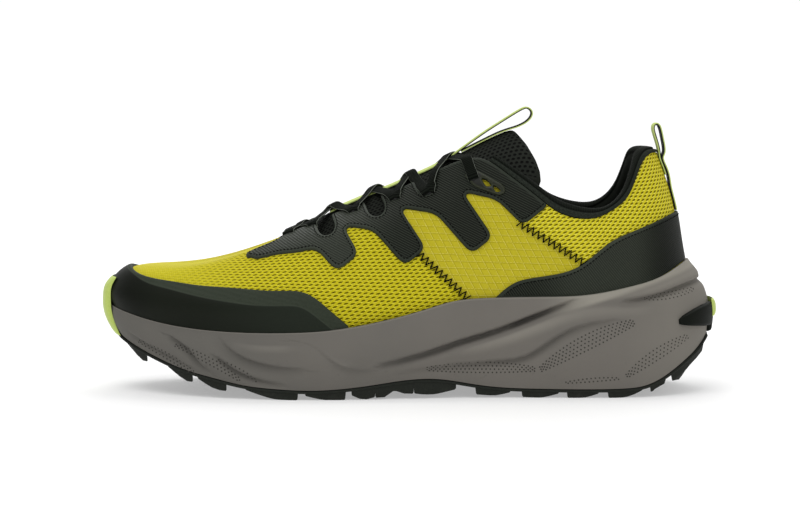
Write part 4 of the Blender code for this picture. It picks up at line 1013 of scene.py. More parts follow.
rings = [below(edge + out * reach, SHEET_GAP + depth) for depth, reach in levels]
faces = [lambda p, depth=depth: under_sole(p[:, :2], SHEET_GAP + depth)[:, 2] for depth in (0.0, SHEET)]
shapes.append(ring_solid(rings, faces, 6))
piece("outsole_tread", join(shapes), tread, "black_rubber", "outsole", sharp=35.0)

# Insole: thin foam footbed with a knitted top cloth, laid loose on the midsole inside the upper. Its
# upper edge is rounded.
INSOLE_THICKNESS = 3.5
INSOLE_INSET = 2.6
INSOLE_LOOP = 240
CROWN_INSET = 0.8
CROWN_RISE = 0.25


def lining_cloth(shade):
    x, y, z = shade.object_mm()
    cells = oval_holes(x, y + z, 1.6, 1.1, 0.0, 0.5, 0.35)
    fuzz = shade.cloud(x, y, z, 0.6, 3.0)
    colour = (cells * 0.6).blend(fuzz.blend((20, 22, 19), (30, 33, 28)), (8, 9, 8))
    return colour, 0.85 + cells * 0.1, fuzz * 0.1 - cells * 0.2


lining = finish("lining_cloth", lining_cloth, Specular_IOR_Level=0.1)
loop = np.arange(INSOLE_LOOP) / INSOLE_LOOP
inset = loop_points(FEATHER, loop) - outward(loop) * INSOLE_INSET
raised = inset + np.array([0, 0, INSOLE_THICKNESS])
crown = raised - outward(loop) * CROWN_INSET + np.array([0, 0, CROWN_RISE])
piece("insole_foam", ring_solid([crown, raised, inset], spans=8), lining, "black_textile", "insole")

# Tongue: padded plate of black spacer mesh with a smooth bound edge, sewn under the front of the
# throat and lying loose over the instep.
TONGUE_SLOPE = math.radians(26.0)
TONGUE = table(
    "x       z      half  fall  thick",
    (-76.0, 65.4, 14.0, 4.5, 2.4),
    (-62.0, 70.0, 17.0, 8.5, 3.2),
    (-40.0, 83.6, 19.0, 12.5, 4.2),
    (-17.0, 94.6, 20.0, 14.5, 4.8),
    (11.0, 108.0, 21.0, 17.5, 5.5),
    (33.0, 119.6, 20.5, 20.5, 6.4),
    (43.0, 124.4, 19.8, 24.5, 6.2),
    (48.5, 126.3, 19.2, 27.5, 5.4),
    (51.2, 125.9, 18.6, 28.5, 3.8),
    (52.8, 124.4, 18.0, 28.5, 1.6),
)
TONGUE_DROP = table(
    "fall  run   drop",
    (0.0, 0.0, 0.0), (6.2, 3.9, 4.8), (14.0, 7.8, 11.6), (19.7, 9.7, 16.9),
    (24.5, 10.2, 21.7), (27.6, 9.3, 24.6), (33.0, 7.4, 29.6),
)
TONGUE_ROWS = 120
TONGUE_SPANS = 49
TONGUE_BUNCH = 1.15
TONGUE_THIN = 0.55
TONGUE_NARROW = 0.12
TONGUE_PUFF = table("x rise", (-64.0, 0.0), (-46.0, 2.2), (-30.0, 1.8), (0.0, 0.8), (20.0, 0.0))
PUFF_WIDTH = 0.38


def spacer_mesh(shade):
    u, v = shade.flat_map("cloth")
    edge = shade.measure("edge")
    holes = oval_holes(u, v, 2.5, 1.7, 0.2, 0.85, 0.5) * edge.step(2.2, 3.0)
    fuzz = shade.cloud(u, v, 0.0, 0.8, 3.0)
    colour = (holes * 0.9).blend(fuzz.blend((25, 28, 24), (38, 41, 35)), (3, 3, 3))
    rib = (v * 4.0).math("SINE") * edge.step(3.0, 2.2) * 0.05
    return colour, 0.8 + holes * 0.15, fuzz * 0.08 - holes * 0.55 + rib


tongue_mesh = finish("tongue_mesh", spacer_mesh, Specular_IOR_Level=0.12)
steps = 1 - (1 - np.linspace(0, 1, TONGUE_ROWS)) ** TONGUE_BUNCH
span = np.sin(np.linspace(-0.5, 0.5, TONGUE_SPANS) * math.pi)
knots = (TONGUE["x"] - TONGUE["x"][0]) / np.ptp(TONGUE["x"])
line = spline(knots, columns(TONGUE, "x z half fall thick"), steps)
x, z, half, fall, thick = (column[:, None] for column in line.T)
thick = thick * (1 - TONGUE_THIN * np.abs(span) ** 3) / 2
round_off = np.sqrt(np.maximum(1 - span**6, 0.05))
puff = np.exp(-(span / PUFF_WIDTH) ** 2) * np.interp(x, TONGUE_PUFF["x"], TONGUE_PUFF["rise"])
run, drop = (np.interp(fall * span**2, TONGUE_DROP["fall"], TONGUE_DROP[c]) for c in ("run", "drop"))
tongue_faces = []
for out, narrow in ((thick * (round_off - 1) + puff, 0.0), (-thick * (round_off + 1), TONGUE_NARROW)):
    wide = half * span * (1 - narrow * np.abs(span) ** 3)
    tongue_faces.append(np.stack([
        x + run - out * math.sin(TONGUE_SLOPE), wide, z - drop + out * math.cos(TONGUE_SLOPE),
    ], -1))
tongue_u = walked(line[:, :2])
tongue_v = walked(tongue_faces[0][TONGUE_ROWS // 2])
to_edge = np.minimum(np.minimum(tongue_v, tongue_v[-1] - tongue_v), (tongue_u[-1] - tongue_u)[:, None])
tongue_pad = piece(
    "tongue_pad", shell(*tongue_faces), tongue_mesh, "black_textile", "tongue",
    {"cloth": np.tile(pairs(tongue_u[:, None], tongue_v), (2, 1)), "edge": np.tile(to_edge.ravel(), 2)},
    sharp=80.0,
)

# Toe cap and heel counter: black film covers pressed hot onto the knit above the midsole's rim. The
# cap is smooth with a raised lower step, the counter finely ribbed with a sewn upper edge.
CAP_EDGE = table(
    "x        z",
    (-150.0, 72.0), (-140.0, 61.8), (-135.0, 58.4), (-126.0, 55.5), (-115.0, 54.1), (-101.0, 52.6),
    (-85.0, 51.9), (-62.0, 51.0), (-54.0, 51.0), (-47.5, 49.4), (-39.0, 43.3), (-29.0, 34.6),
)
CAP_STEP = table(
    "x        z",
    (-150.0, 68.0), (-142.0, 62.0), (-134.0, 57.2), (-128.3, 54.4), (-118.8, 52.0), (-99.9, 48.3),
    (-85.6, 46.2), (-71.4, 44.9), (-57.1, 44.9), (-52.4, 44.4), (-47.6, 42.0), (-40.5, 36.4),
    (-34.0, 31.0),
)
COUNTER_EDGE = table(
    "x        z",
    (40.5, 47.4), (43.5, 50.2), (50.9, 55.0), (57.0, 56.6), (71.4, 59.0), (79.0, 61.6),
    (86.0, 66.3), (94.2, 73.0), (106.0, 78.6), (118.0, 83.0), (131.0, 87.4), (140.0, 89.0),
)
COVER_LOW = 0.05
COVER_HIGH = 1.5
CAP_SWELL = 0.55
CAP_SOFT = 0.28
CAP_ENDS = (-0.2165, 0.2165)
COUNTER_ENDS = (0.3175, 0.6825)
RIM_TUCK = 0.4
COVER_LEAST = 0.004
RIB_SLANT = math.radians(52.0)
RIB_WAY = (0.44, 0.90)


def nearest(points, others):
    """Distance of each point from the nearest of the others."""
    tree = found_tree(others)
    return np.array([tree.find(Vector(p))[2] for p in points])


def inside(points, outline):
    """Which flat points lie inside an outline."""
    x, y = points.T[..., None]
    (x0, y0), (x1, y1) = outline.T, np.roll(outline, -1, 0).T
    cuts = ((y0 > y) != (y1 > y)) & (x < (x1 - x0) * (y - y0) / np.where(y1 == y0, 1e-9, y1 - y0) + x0)
    return cuts.sum(axis=1) % 2 == 1


SHEET_SCALE = np.array([700.0, 85.0])
SKIN_SHARE = np.linspace(0, 1, 401)
SKIN_ARC = walked(on_skin(SKIN_SHARE, 0.35))
EDGE_STEP = 0.75
EDGE_ROUND = 0.9
EDGE_STAND = 0.25
EDGE_ROWS = (0.2, 0.5, 0.95, 1.6)
EDGE_FREE = 2.1
PROBE = 0.3


def even_steps(line, spacing):
    """Closed line of (u, v) places walked in steps of equal length on the shoe."""
    line = np.concatenate([line, line[:1]])
    length = walked(skin_at(line))
    return resampled(line, np.linspace(0, length[-1], int(length[-1] / spacing), endpoint=False), length)


def inset_line(line, gap, strict=0.93):
    """Places a given distance inside a closed line, and which of them are not too near its other parts."""
    flat = line * SHEET_SCALE
    along = np.roll(flat, -1, 0) - np.roll(flat, 1, 0)
    inward = unit(np.stack([-along[:, 1], along[:, 0]], 1) * np.sign(turning(flat)))
    base = skin_at(line)
    probe = skin_at((flat + inward * PROBE) / SHEET_SCALE)
    scale = np.linalg.norm(probe - base, axis=1, keepdims=True) / PROBE
    moved = (flat + inward * gap / np.maximum(scale, 0.2)) / SHEET_SCALE
    return moved, (nearest(skin_at(moved), base) > gap * strict) & (moved[:, 1] <= 1.0)


def cover(outline, low=COVER_LOW, high=COVER_HIGH, pitch=1.5, holes=(), lift=None, slant=None):
    """Closed patch on the upper inside an outline of (u, v) places, with a rounded edge."""
    rims = [even_steps(line, EDGE_STEP) for line in (outline, *holes)]
    edge_spots = skin_at(np.concatenate(rims))
    flats = [rim * SHEET_SCALE for rim in rims]
    spots = list(flats)
    for gap in EDGE_ROWS:
        for k, rim in enumerate(rims):
            moved, clear = inset_line(rim, gap if k == 0 else -gap)
            spots.append((moved[clear] if k == 0 else moved) * SHEET_SCALE)
    lo, hi = flats[0].min(axis=0), flats[0].max(axis=0)
    grid = np.stack(np.meshgrid(*(np.arange(a, b, pitch) for a, b in zip(lo, hi))), -1).reshape(-1, 2)
    grid = grid[inside(grid, flats[0])]
    spots.append(grid[nearest(skin_at(grid / SHEET_SCALE), edge_spots) > EDGE_FREE])
    edges, count = [], 0
    for rim in rims:
        edges += [(count + i, count + (i + 1) % len(rim)) for i in range(len(rim))]
        count += len(rim)
    flat_spots = [Vector(p) for p in np.concatenate(spots)]
    points, _, faces, *_ = delaunay_2d_cdt(flat_spots, edges, [], 0, 1e-5)
    points, faces = np.array([tuple(p) for p in points]), np.array(faces)
    middle = points[faces].mean(axis=1)
    within = [inside(middle, flat) for flat in flats]
    used, faces = np.unique(faces[within[0] & ~np.any(within[1:], axis=0)], return_inverse=True)
    points, faces = points[used], faces.reshape(-1, 3)
    a, b, c = (points[faces[:, k]] for k in range(3))
    back = (b[:, 0] - a[:, 0]) * (c[:, 1] - a[:, 1]) - (b[:, 1] - a[:, 1]) * (c[:, 0] - a[:, 0]) < 0
    faces[back] = faces[back][:, ::-1]
    u, v = (points / SHEET_SCALE).T
    ground = on_skin(u, v)
    edge = nearest(ground, edge_spots)
    near = np.clip(edge / EDGE_ROUND, 0, 1)
    rise = low + (high - low) * (np.sqrt(1 - (1 - near) ** 2) * (1 - EDGE_STAND) + EDGE_STAND)
    if lift is not None:
        rise = rise + lift(ground) * near
    n = len(points)
    sides = np.concatenate([faces[:, [0, 1]], faces[:, [1, 2]], faces[:, [2, 0]]])
    seen = {(a, b) for a, b in sides.tolist()}
    wall = [(b, a, a + n, b + n) for a, b in seen if (b, a) not in seen]
    x, z = ground[:, 0], ground[:, 2]
    back = np.interp(u % 1.0, SKIN_SHARE, SKIN_ARC) - SKIN_ARC[-1] / 2
    ribs = x * RIB_WAY[0] + z * RIB_WAY[1] if slant is None else back * math.sin(slant) + z * math.cos(slant)
    maps = {"cloth": np.tile(cloth_map(ground), (2, 1)), "edge": np.tile(edge, 2), "ribs": np.tile(ribs, 2)}
    points = np.concatenate([on_skin(u, v, rise), on_skin(u, v, low)])
    return (points, faces.tolist() + (faces[:, ::-1] + n).tolist() + wall), maps


def rim_band(u, edge):
    """Outline of a cover from just under the midsole's rim up to a line of the side view."""
    low = crossing(u, RIM_LINE, -RIM_TUCK)
    high = np.maximum(crossing(u, edge), low + COVER_LEAST)
    return np.concatenate([np.stack([u, low], 1), np.stack([u, high], 1)[::-1]])


def cap_film(shade):
    x, y, z = shade.object_mm()
    step = shade.measure("step")
    grain = shade.cloud(x, y, z, 1.1, 3.0)
    lines = ((x * 0.5 + z * 2.2) * 1.3).math("SINE")
    band = step.step(-0.4, 0.4)
    # The thin light line along the step is a painted highlight on the step's edge, not a seam.
    seam = step.math("ABSOLUTE").step(0.55, 0.1)
    # The front of the toe is painted darker: painted shade on the side that faces away from the light.
    colour = band.blend(x.step(-110.0, -45.0).blend((26, 29, 23), (36, 41, 34)), (52, 58, 48)).coats(
        (x.step(-118.0, -138.0) * (1.0 - band * 0.6) * 0.5, (8, 10, 7)),
        (grain.step(0.45, 0.8) * 0.3, (30, 33, 27)), (seam * 0.5, (60, 66, 56)),
    )
    return colour, 0.46 + band * 0.12, grain * 0.03 + band * lines * 0.04


def ribbed_film(shade):
    x, y, z = shade.object_mm()
    u, v = shade.flat_map("cloth")
    ribs = shade.measure("ribs").wave(1.05)
    field = shade.measure("edge").step(1.3, 1.6)
    grain = shade.cloud(u, v, 0.0, 1.4, 3.0)
    low = z.step(92.0, 84.0)
    # The patches of the worn mask are painted light, not wear: the front of the eyestays and the middle of
    # the counter are painted lighter where the light falls.
    worn = x.step(-5.0, -30.0) + x.step(56.0, 80.0) * x.step(124.0, 104.0) * low
    # The rear of the counter is painted darker: painted shade.
    colour = field.blend((44, 49, 41), ribs.blend((6, 8, 5), (44, 49, 40))).coats(
        (grain.step(0.5, 0.8) * 0.25, (20, 23, 18)), (worn * 0.18, (86, 91, 80)),
        (x.step(108.0, 128.0) * low * 0.55, (5, 7, 4)),
    )
    return colour, 0.5 + grain * 0.1, ribs * field * 0.16 + grain * 0.03


cap_cover = finish("cap_film", cap_film, Specular_IOR_Level=0.05)
ribbed_cover = finish("ribbed_film", ribbed_film, Specular_IOR_Level=0.1)


def over_step(points):
    """Height of places on the cap above its step."""
    return points[:, 2] - height(CAP_STEP, points[:, 0])


def cap_swell(points):
    """The lower part of the cap stands proud of its upper band."""
    return CAP_SWELL / (1 + np.exp(over_step(points) / CAP_SOFT))


shape, maps = cover(rim_band(np.linspace(*CAP_ENDS, 280), CAP_EDGE), lift=cap_swell)
maps["step"] = np.tile(over_step(shape[0][:len(shape[0]) // 2]), 2)
piece("toe_cap_film", shape, cap_cover, "black_overlay", "toe_cap", maps)
counter_line = rim_band(np.linspace(*COUNTER_ENDS, 260), COUNTER_EDGE)
shape, maps = cover(counter_line, slant=RIB_SLANT)
piece("heel_counter_film", shape, ribbed_cover, "black_overlay", "heel_counter", maps)

# Eyestays: one black ribbed piece each side, cut with four slanted fingers and sewn to the knit along
# their edges, with round-bottomed notches in the throat edge for the lace.
STAY_THROAT = -60.0
STAY_TIP = (
    (-63.0, -59.0, 15.5), (-71.8, -62.4, 18.5), (-77.6, -65.4, 20.5), (-79.2, -66.8, 22.5),
    (-78.4, -66.2, 24.4),
)
STAY_FRONT = ((-76.6, 65.6), (-74.6, 65.0), (-71.4, 65.4), (-64.0, 67.4), (-54.0, 68.4))
STAY_CORNER = 4.6
TIP_CORNER = 4.0
THROAT_HALF = 4.0
THROAT_MIDDLE = 1.0
FINGER_GAP = 0.15
NOTCH_GAP = 0.2
FINGER_DOWN = np.array([math.cos(RIB_SLANT), -math.sin(RIB_SLANT)])
FINGER_ACROSS = np.array([FINGER_DOWN[1], -FINGER_DOWN[0]])
FINGERS = table(
    "tip_x tip_z half length",
    (-33.0, 68.5, 6.6, 9.0),
    (-1.0, 71.0, 6.6, 17.0),
    (31.0, 76.5, 6.6, 20.0),
    (56.0, 92.5, 8.5, 10.0),
)


PROBE_U, PROBE_V = 0.0008, 0.004
MOVE_U, MOVE_V = 0.004, 0.02


def locate(spots, sign, axis):
    """Loop share and height of places seen from the side (axis 2) or from above (axis 1)."""
    u, v = side_run(sign, 0.002, 0.45, 500), np.linspace(0.25, 1.0, 160)

    def seen(u, v):
        return on_skin(u, v)[..., [0, axis]]

    grid = seen(u[:, None], v).reshape(-1, 2)
    tree = found_tree(np.column_stack([grid, np.zeros(len(grid))]))
    found = np.array([tree.find(Vector((a, b, 0.0)))[1] for a, b in spots])
    u, v = u[found // len(v)], v[found % len(v)]
    for _ in range(4):
        here = seen(u, v)
        du, dv = (seen(u + PROBE_U, v) - here) / PROBE_U, (here - seen(u, v - PROBE_V)) / PROBE_V
        miss = spots - here
        area = du[:, 0] * dv[:, 1] - du[:, 1] * dv[:, 0]
        area = np.where(np.abs(area) < 1e-6, 1e-6, area)
        move_u = (miss[:, 0] * dv[:, 1] - miss[:, 1] * dv[:, 0]) / area
        move_v = (du[:, 0] * miss[:, 1] - du[:, 1] * miss[:, 0]) / area
        u = u + np.clip(move_u, -MOVE_U, MOVE_U)
        v = np.clip(v + np.clip(move_v, -MOVE_V, MOVE_V), 0.2, 1.0)
    return np.stack([u, v], 1)


def rounded(points, radius):
    """Open line with its inner corners turned into short curves."""
    points = np.asarray(points, float)
    result = [points[0]]
    for before, corner, after in zip(points, points[1:], points[2:]):
        one, two = before - corner, after - corner
        reach = min(radius, np.linalg.norm(one) * 0.48, np.linalg.norm(two) * 0.48)
        start, end = corner + unit(one) * reach, corner + unit(two) * reach
        result += [start * (1 - t) ** 2 + corner * 2 * t * (1 - t) + end * t**2 for t in np.linspace(0, 1, 7)]
    return np.array(result + [points[-1]])


def fine_line(points, spacing=0.6):
    """Open line with points at small even steps."""
    length = walked(points)
    return resampled(points, np.linspace(0, length[-1], max(int(length[-1] / spacing), 2)), length)


def finger_line():
    """Lower edge of the eyestay on the side view, front to back."""
    line = list(STAY_FRONT)
    for x, z, half, length in columns(FINGERS, "tip_x tip_z half length"):
        for across, down in ((1.25, -length), (1.0, half * 0.85), (-1.0, half * 0.85), (-1.25, -length)):
            line.append(np.array([x, z]) + FINGER_ACROSS * half * across + FINGER_DOWN * down)
    return fine_line(rounded(line, STAY_CORNER))


def notch_line(middle):
    """Round-bottomed notch for the lace on the side view, back to front."""
    low = middle + NOTCH_DOWN * (NOTCH_DEPTH - NOTCH_HALF)
    turns = np.linspace(0, math.pi, 13)
    bowl = [low + NOTCH_HALF * (NOTCH_ACROSS * math.cos(a) + NOTCH_DOWN * math.sin(a)) for a in turns]
    aside = NOTCH_ACROSS * NOTCH_HALF
    return fine_line(np.array([middle + aside, *bowl, middle - aside]))


def eyestay_line(sign):
    """Whole outline of an eyestay as (u, v) places."""
    side = 0 if sign < 0 else 1
    front = [(STAY_THROAT, sign * THROAT_HALF + THROAT_MIDDLE)]
    front += [(tip[side], sign * tip[2]) for tip in STAY_TIP]
    front = locate(fine_line(rounded(front, TIP_CORNER)), sign, 1)
    share = side_run(sign, 0.0, 0.5, 800)
    top = on_skin(share, 1.0)

    def under(line, gap):
        return line[line[:, 1] < np.interp(line[:, 0], top[:, 0], top[:, 2]) - gap]

    lower = finger_line()
    lower = lower[np.argmax(lower[:, 0] > skin_at(front[-1:])[0, 0] + 1.0):]
    lower = locate(under(lower, FINGER_GAP), sign, 2)
    rim = share[(top[:, 0] < on_skin(lower[-1:, 0], 1.0)[0, 0]) & (top[:, 0] > STAY_THROAT)][::-1]
    spots = on_skin(rim, 1.0)
    cut = notch_depth(spots[:, 0], spots[:, 2]) >= 0
    upper = []
    for notched, group in groupby(range(len(rim)), lambda k: cut[k]):
        group = list(group)
        if not notched:
            upper += [(rim[k], 1.0) for k in group]
            continue
        centre = np.argmin(np.abs(NOTCHES["x"] - spots[(group[0] + group[-1] + 1) // 2, 0]))
        upper += list(locate(under(notch_line(columns(NOTCHES, "x z")[centre]), NOTCH_GAP), sign, 2))
    return np.concatenate([front, lower, upper])


PLATE_EDGE = ((26.0, 104.6), (32.0, 107.2), (44.6, 100.4), (46.0, 97.4), (43.2, 95.2), (31.0, 99.4))
PLATE_WINDOWS = (
    ((34.0, 103.6), (36.6, 103.0), (39.6, 99.8), (36.6, 99.4)),
    ((39.6, 100.2), (41.6, 99.6), (44.0, 97.2), (41.0, 96.9)),
)
PLATE_CORNER = 1.6
SIDES = {"lateral": -1, "medial": 1}


def window_line(corners, sign):
    """Closed line with soft corners on the eyestay, as (u, v) places."""
    corners = np.asarray(corners, float)
    start = (corners[0] + corners[-1]) / 2
    line = rounded(np.concatenate([[start], corners, [start]]), PLATE_CORNER)
    return locate(fine_line(line, 0.4)[:-1], sign, 2)


stay_lines, plate_windows = {}, {}
for side_name, sign in SIDES.items():
    stay_lines[sign] = eyestay_line(sign)
    plate_windows[sign] = [window_line(corners, sign) for corners in PLATE_WINDOWS]
    shape, maps = cover(stay_lines[sign], holes=plate_windows[sign])
    piece("eyestay_film_" + side_name, shape, ribbed_cover, "black_overlay", "eyestay_" + side_name, maps)

# Seams and stitches: dark thread, sewn in rows of short stitches along the edges of the eyestays and
# the counter, and as zigzags over the two joints of the knit panels.
STITCH_INSET = 1.7
STITCH_STRICT = 0.6
STITCH_LIFT = 0.02
STITCH_FEWEST = 4
STITCH_OVER_RIM = 4.0
STITCH_SIZES = {"Spacing": 1.75, "Length": 1.2, "Thickness": 0.62}
ZIGZAG_SIZES = {"Pitch": 3.0, "Reach": 2.0, "Radius": 0.32}
ZIGZAG_LIFT = 0.65
ZIGZAG_POINTS = 60
row_tree, given, add, close = node_group("stitch_row", "Spacing Length Thickness")
run = add("MeshToCurve", {0: given[0]})
dots = add("CurveToPoints", {0: run, "Length": given["Spacing"]}, mode="LENGTH")
bead = add("MeshUVSphere", {"Segments": 6, "Rings": 4, "Radius": 0.5})
size = add("ShaderNodeCombineXYZ", {0: given["Thickness"], 1: given["Thickness"], 2: given["Length"]})
turn = add("FunctionNodeAlignRotationToVector", {"Vector": dots.node.outputs["Tangent"]}, axis="Z")
close(add("InstanceOnPoints", {"Points": dots, "Instance": bead, "Rotation": turn, "Scale": size}))
zig_tree, given, add, close = node_group("zigzag_seam", "Pitch Reach Radius")
run = add("MeshToCurve", {0: given[0]})
half_pitch = add("ShaderNodeMath", {0: given["Pitch"], 1: 0.5}, operation="MULTIPLY")
even = add("ResampleCurve", {"Curve": run, "Length": half_pitch}, mode="LENGTH")
odd = add("ShaderNodeMath", {0: add("InputIndex", {}), 1: 2.0}, operation="MODULO")
flip = add("ShaderNodeMath", {0: odd, 1: 2.0, 2: -1.0}, operation="MULTIPLY_ADD")
throw = add("ShaderNodeMath", {0: flip, 1: given["Reach"]}, operation="MULTIPLY")
away = add("InputNamedAttribute", {"Name": "away"}, data_type="FLOAT_VECTOR")
aside = add("ShaderNodeVectorMath", {0: away, 1: add("InputTangent", {})}, operation="CROSS_PRODUCT")
shift = add("ShaderNodeVectorMath", {0: aside, "Scale": throw}, operation="SCALE")
bent = add("SetPosition", {0: even, "Offset": shift})
strokes = add("SubdivideCurve", {"Curve": bent, "Cuts": 4})
thread = add("CurvePrimitiveCircle", {"Resolution": 6, "Radius": given["Radius"]}, mode="RADIUS")
close(add("CurveToMesh", {"Curve": strokes, "Profile Curve": thread, "Fill Caps": True}))


def thread_colour(shade):
    x, y, z = shade.object_mm()
    twist = ((x + y + z) * 9.0).math("SINE") * 0.5 + 0.5
    return twist.blend((3, 4, 3), (12, 13, 10)), None, twist * 0.04


thread_finish = finish("dark_thread", thread_colour, 0.75, Specular_IOR_Level=0.05)


def thread_row(name, tree, stretches, lift, sizes, slot):
    """Thread sewn along stretches of (u, v) places on the upper."""
    places = np.concatenate(stretches)
    ends = np.cumsum([len(stretch) for stretch in stretches]) - 1
    edges = [(k, k + 1) for k in range(len(places) - 1) if k not in ends]
    sizes = {label: value * MM for label, value in sizes.items()}
    sizes["Finish"] = thread_finish
    grow(name, tree, skin_at(places, lift), edges, skin_direction(*places.T), sizes, slot)


def sewn(name, outline, chosen):
    """Row of stitches just inside an outline, along the part of it that is chosen."""
    outline = even_steps(outline, EDGE_STEP)
    places, clear = inset_line(outline, STITCH_INSET, STITCH_STRICT)
    clear &= chosen(skin_at(outline), outline[:, 1])
    order = np.roll(np.arange(len(places)), -int(np.argmin(clear)))
    stretches = [list(group) for shown, group in groupby(order, lambda k: clear[k]) if shown]
    stretches = [places[stretch] for stretch in stretches if len(stretch) >= STITCH_FEWEST]
    thread_row(name, row_tree, stretches, COVER_HIGH + STITCH_LIFT, STITCH_SIZES, "black_overlay")


for side_name, sign in SIDES.items():
    sewn("eyestay_stitches_" + side_name, stay_lines[sign], lambda p, v: v < 0.9999)
sewn("counter_stitches", counter_line, lambda p, v: p[:, 2] > height(RIM_LINE, p[:, 0]) + STITCH_OVER_RIM)
for name, seam, first, last in (("front", SEAM_FRONT, -0.2, 1.0), ("rear", SEAM_REAR, 0.15, 1.05)):
    share = np.linspace(first, last, ZIGZAG_POINTS)[:, None]
    line = np.array(seam[0]) * (1 - share) + np.array(seam[1]) * share
    stretches = [locate(line, sign, 2) for sign in (-1, 1)]
    thread_row("panel_seam_" + name, zig_tree, stretches, ZIGZAG_LIFT, ZIGZAG_SIZES, "upper_mesh")

# Top eyelets: moulded plates of glossy plastic on the upper corners of the eyestays, each with two
# windows through which the yellow knit shows.
PLATE = 1.0
PLATE_LOW = 0.05
PLATE_HIGH = 0.1
PLATE_PITCH = 1.2


def plate_plastic(shade):
    grain = shade.cloud(*shade.object_mm(), 1.2)
    edge = shade.measure("edge").step(1.4, 0.4)
    return (edge * 0.7).blend((20, 22, 16), (56, 60, 45)), 0.32 + grain * 0.1, grain * 0.02


plate_gloss = finish(
    "plate_plastic", plate_plastic, Specular_IOR_Level=0.15, Coat_Weight=0.05, Coat_Roughness=0.25,
)
for side_name, sign in SIDES.items():
    outline, windows = window_line(PLATE_EDGE, sign), plate_windows[sign]
    low, high = COVER_HIGH + PLATE_LOW, COVER_HIGH + PLATE + PLATE_HIGH
    shape, maps = cover(outline, low, high, PLATE_PITCH, windows)
    node = "top_eyelet_" + side_name
    piece("top_eyelet_plate_" + side_name, shape, plate_gloss, "eyelet_plastic", node, maps)

# Collar: foam roll covered in black knit, sewn along the top edge of the upper. A flat binding runs
# below the ribbed roll, and the cloth goes on down inside as the lining.
LINING_GAP = 1.0
COLLAR_TOP = table(
    "s       x       y_outer  y_inner  z",
    (0.620, 36.0, -19.0, 19.0, 117.5),
    (0.665, 46.0, -23.0, 23.0, 111.6),
    (0.715, 60.5, -27.5, 27.0, 101.4),
    (0.760, 72.0, -30.0, 29.5, 93.6),
    (0.800, 84.0, -31.0, 30.5, 90.2),
    (0.855, 96.0, -29.8, 29.3, 92.4),
    (0.900, 103.6, -26.5, 26.5, 102.0),
    (0.925, 106.8, -23.5, 23.5, 110.6),
    (0.950, 109.6, -18.5, 18.5, 117.2),
    (0.975, 113.6, -10.5, 10.5, 118.6),
    (1.000, 116.3, 0.0, 0.0, 118.4),
)
PADDING_EDGE = table(
    "share inside",
    (0.03, -0.15), (0.10, -1.05), (0.28, -1.5), (0.46, -1.35), (0.56, -0.75), (0.66, -1.25),
    (0.86, -1.3), (1.00, 0.2), (0.92, 2.4), (0.66, 4.0), (0.40, 4.5),
)
PADDING_LINING = table("v inside", (0.985, 4.0), (0.88, 3.9), (0.77, 3.2), (0.68, 2.0), (0.60, 0.8))
COLLAR_PLUMP = table("reach fullness", (0.09, 1.0), (0.14, 0.75), (0.19, 0.2))
COLLAR_ENDS = (0.3205, 0.6795)
COLLAR_POINTS = 220
ROLL_POINTS = 96
ROLL_FOOT = 0.35


def collar_cloth(shade):
    run, turn = shade.flat_map("roll")
    fuzz = shade.cloud(run, turn * 60.0, 0.0, 0.9, 3.0)
    band = turn.step(0.165, 0.185)
    ribs = run.wave(0.85)
    weave = (run * 5.0).math("SINE") * (turn * 420.0).math("SINE")
    lower = fuzz.step(0.3, 0.75).blend((26, 30, 25), (48, 53, 46))
    gap = (turn - 0.172).math("ABSOLUTE").step(0.012, 0.003)
    colour = band.blend(lower, (ribs * 0.7).blend((10, 13, 9), (36, 40, 34))).coats((gap * 0.9, (8, 9, 8)))
    return colour, 0.86 + fuzz * 0.1, ribs * band * 0.12 + weave * (1.0 - band) * 0.04 + fuzz * 0.08


collar_knit = finish("collar_knit", collar_cloth, Specular_IOR_Level=0.1)
span = np.linspace(*COLLAR_ENDS, COLLAR_POINTS)
base = on_skin(span, 1.0)
collar_out = skin_direction(span, 1.0)
knots = np.concatenate([COLLAR_TOP["s"] / 2, 1 - COLLAR_TOP["s"][-2::-1] / 2])
tops = np.concatenate([columns(COLLAR_TOP, "x y_outer z"), columns(COLLAR_TOP, "x y_inner z")[-2::-1]])
lift = spline(knots, tops, span) - base
size = np.linalg.norm(lift, axis=1)
plump = np.interp(np.abs(span - 0.5), COLLAR_PLUMP["reach"], COLLAR_PLUMP["fullness"])
roll = []
for share, back in columns(PADDING_EDGE, "share inside"):
    up = np.maximum(share, ROLL_FOOT / size)
    swell = np.where(back > 0, plump, 1.0) * back
    roll.append(base + lift * up[:, None] - collar_out * swell[:, None])
down = 1 - (1 - PADDING_LINING["v"])[:, None] * np.sqrt(plump)
for v, back in zip(down, PADDING_LINING["inside"]):
    roll.append(on_skin(span, v, -(WALL + LINING_GAP + back * plump)))
for v in down[:0:-1]:
    roll.append(on_skin(span, v, -(WALL + LINING_GAP)))
roll.append(roll[0] - collar_out * (WALL + LINING_GAP))
roll = np.stack(roll, 1)
turn = np.arange(ROLL_POINTS) / ROLL_POINTS
knots = np.arange(roll.shape[1]) / roll.shape[1]
rings = np.stack([spline(knots, section, turn, closed=True) for section in roll])
run = walked(base + lift)
collar = piece(
    "collar_roll", capped(rings, rings[[0, -1]].mean(axis=1)), collar_knit, "black_textile", "collar_cuff",
    {"roll": np.concatenate([pairs(run[:, None], turn), [(0.0, 0.5), (run[-1], 0.5)]])}, sharp=80.0,
)

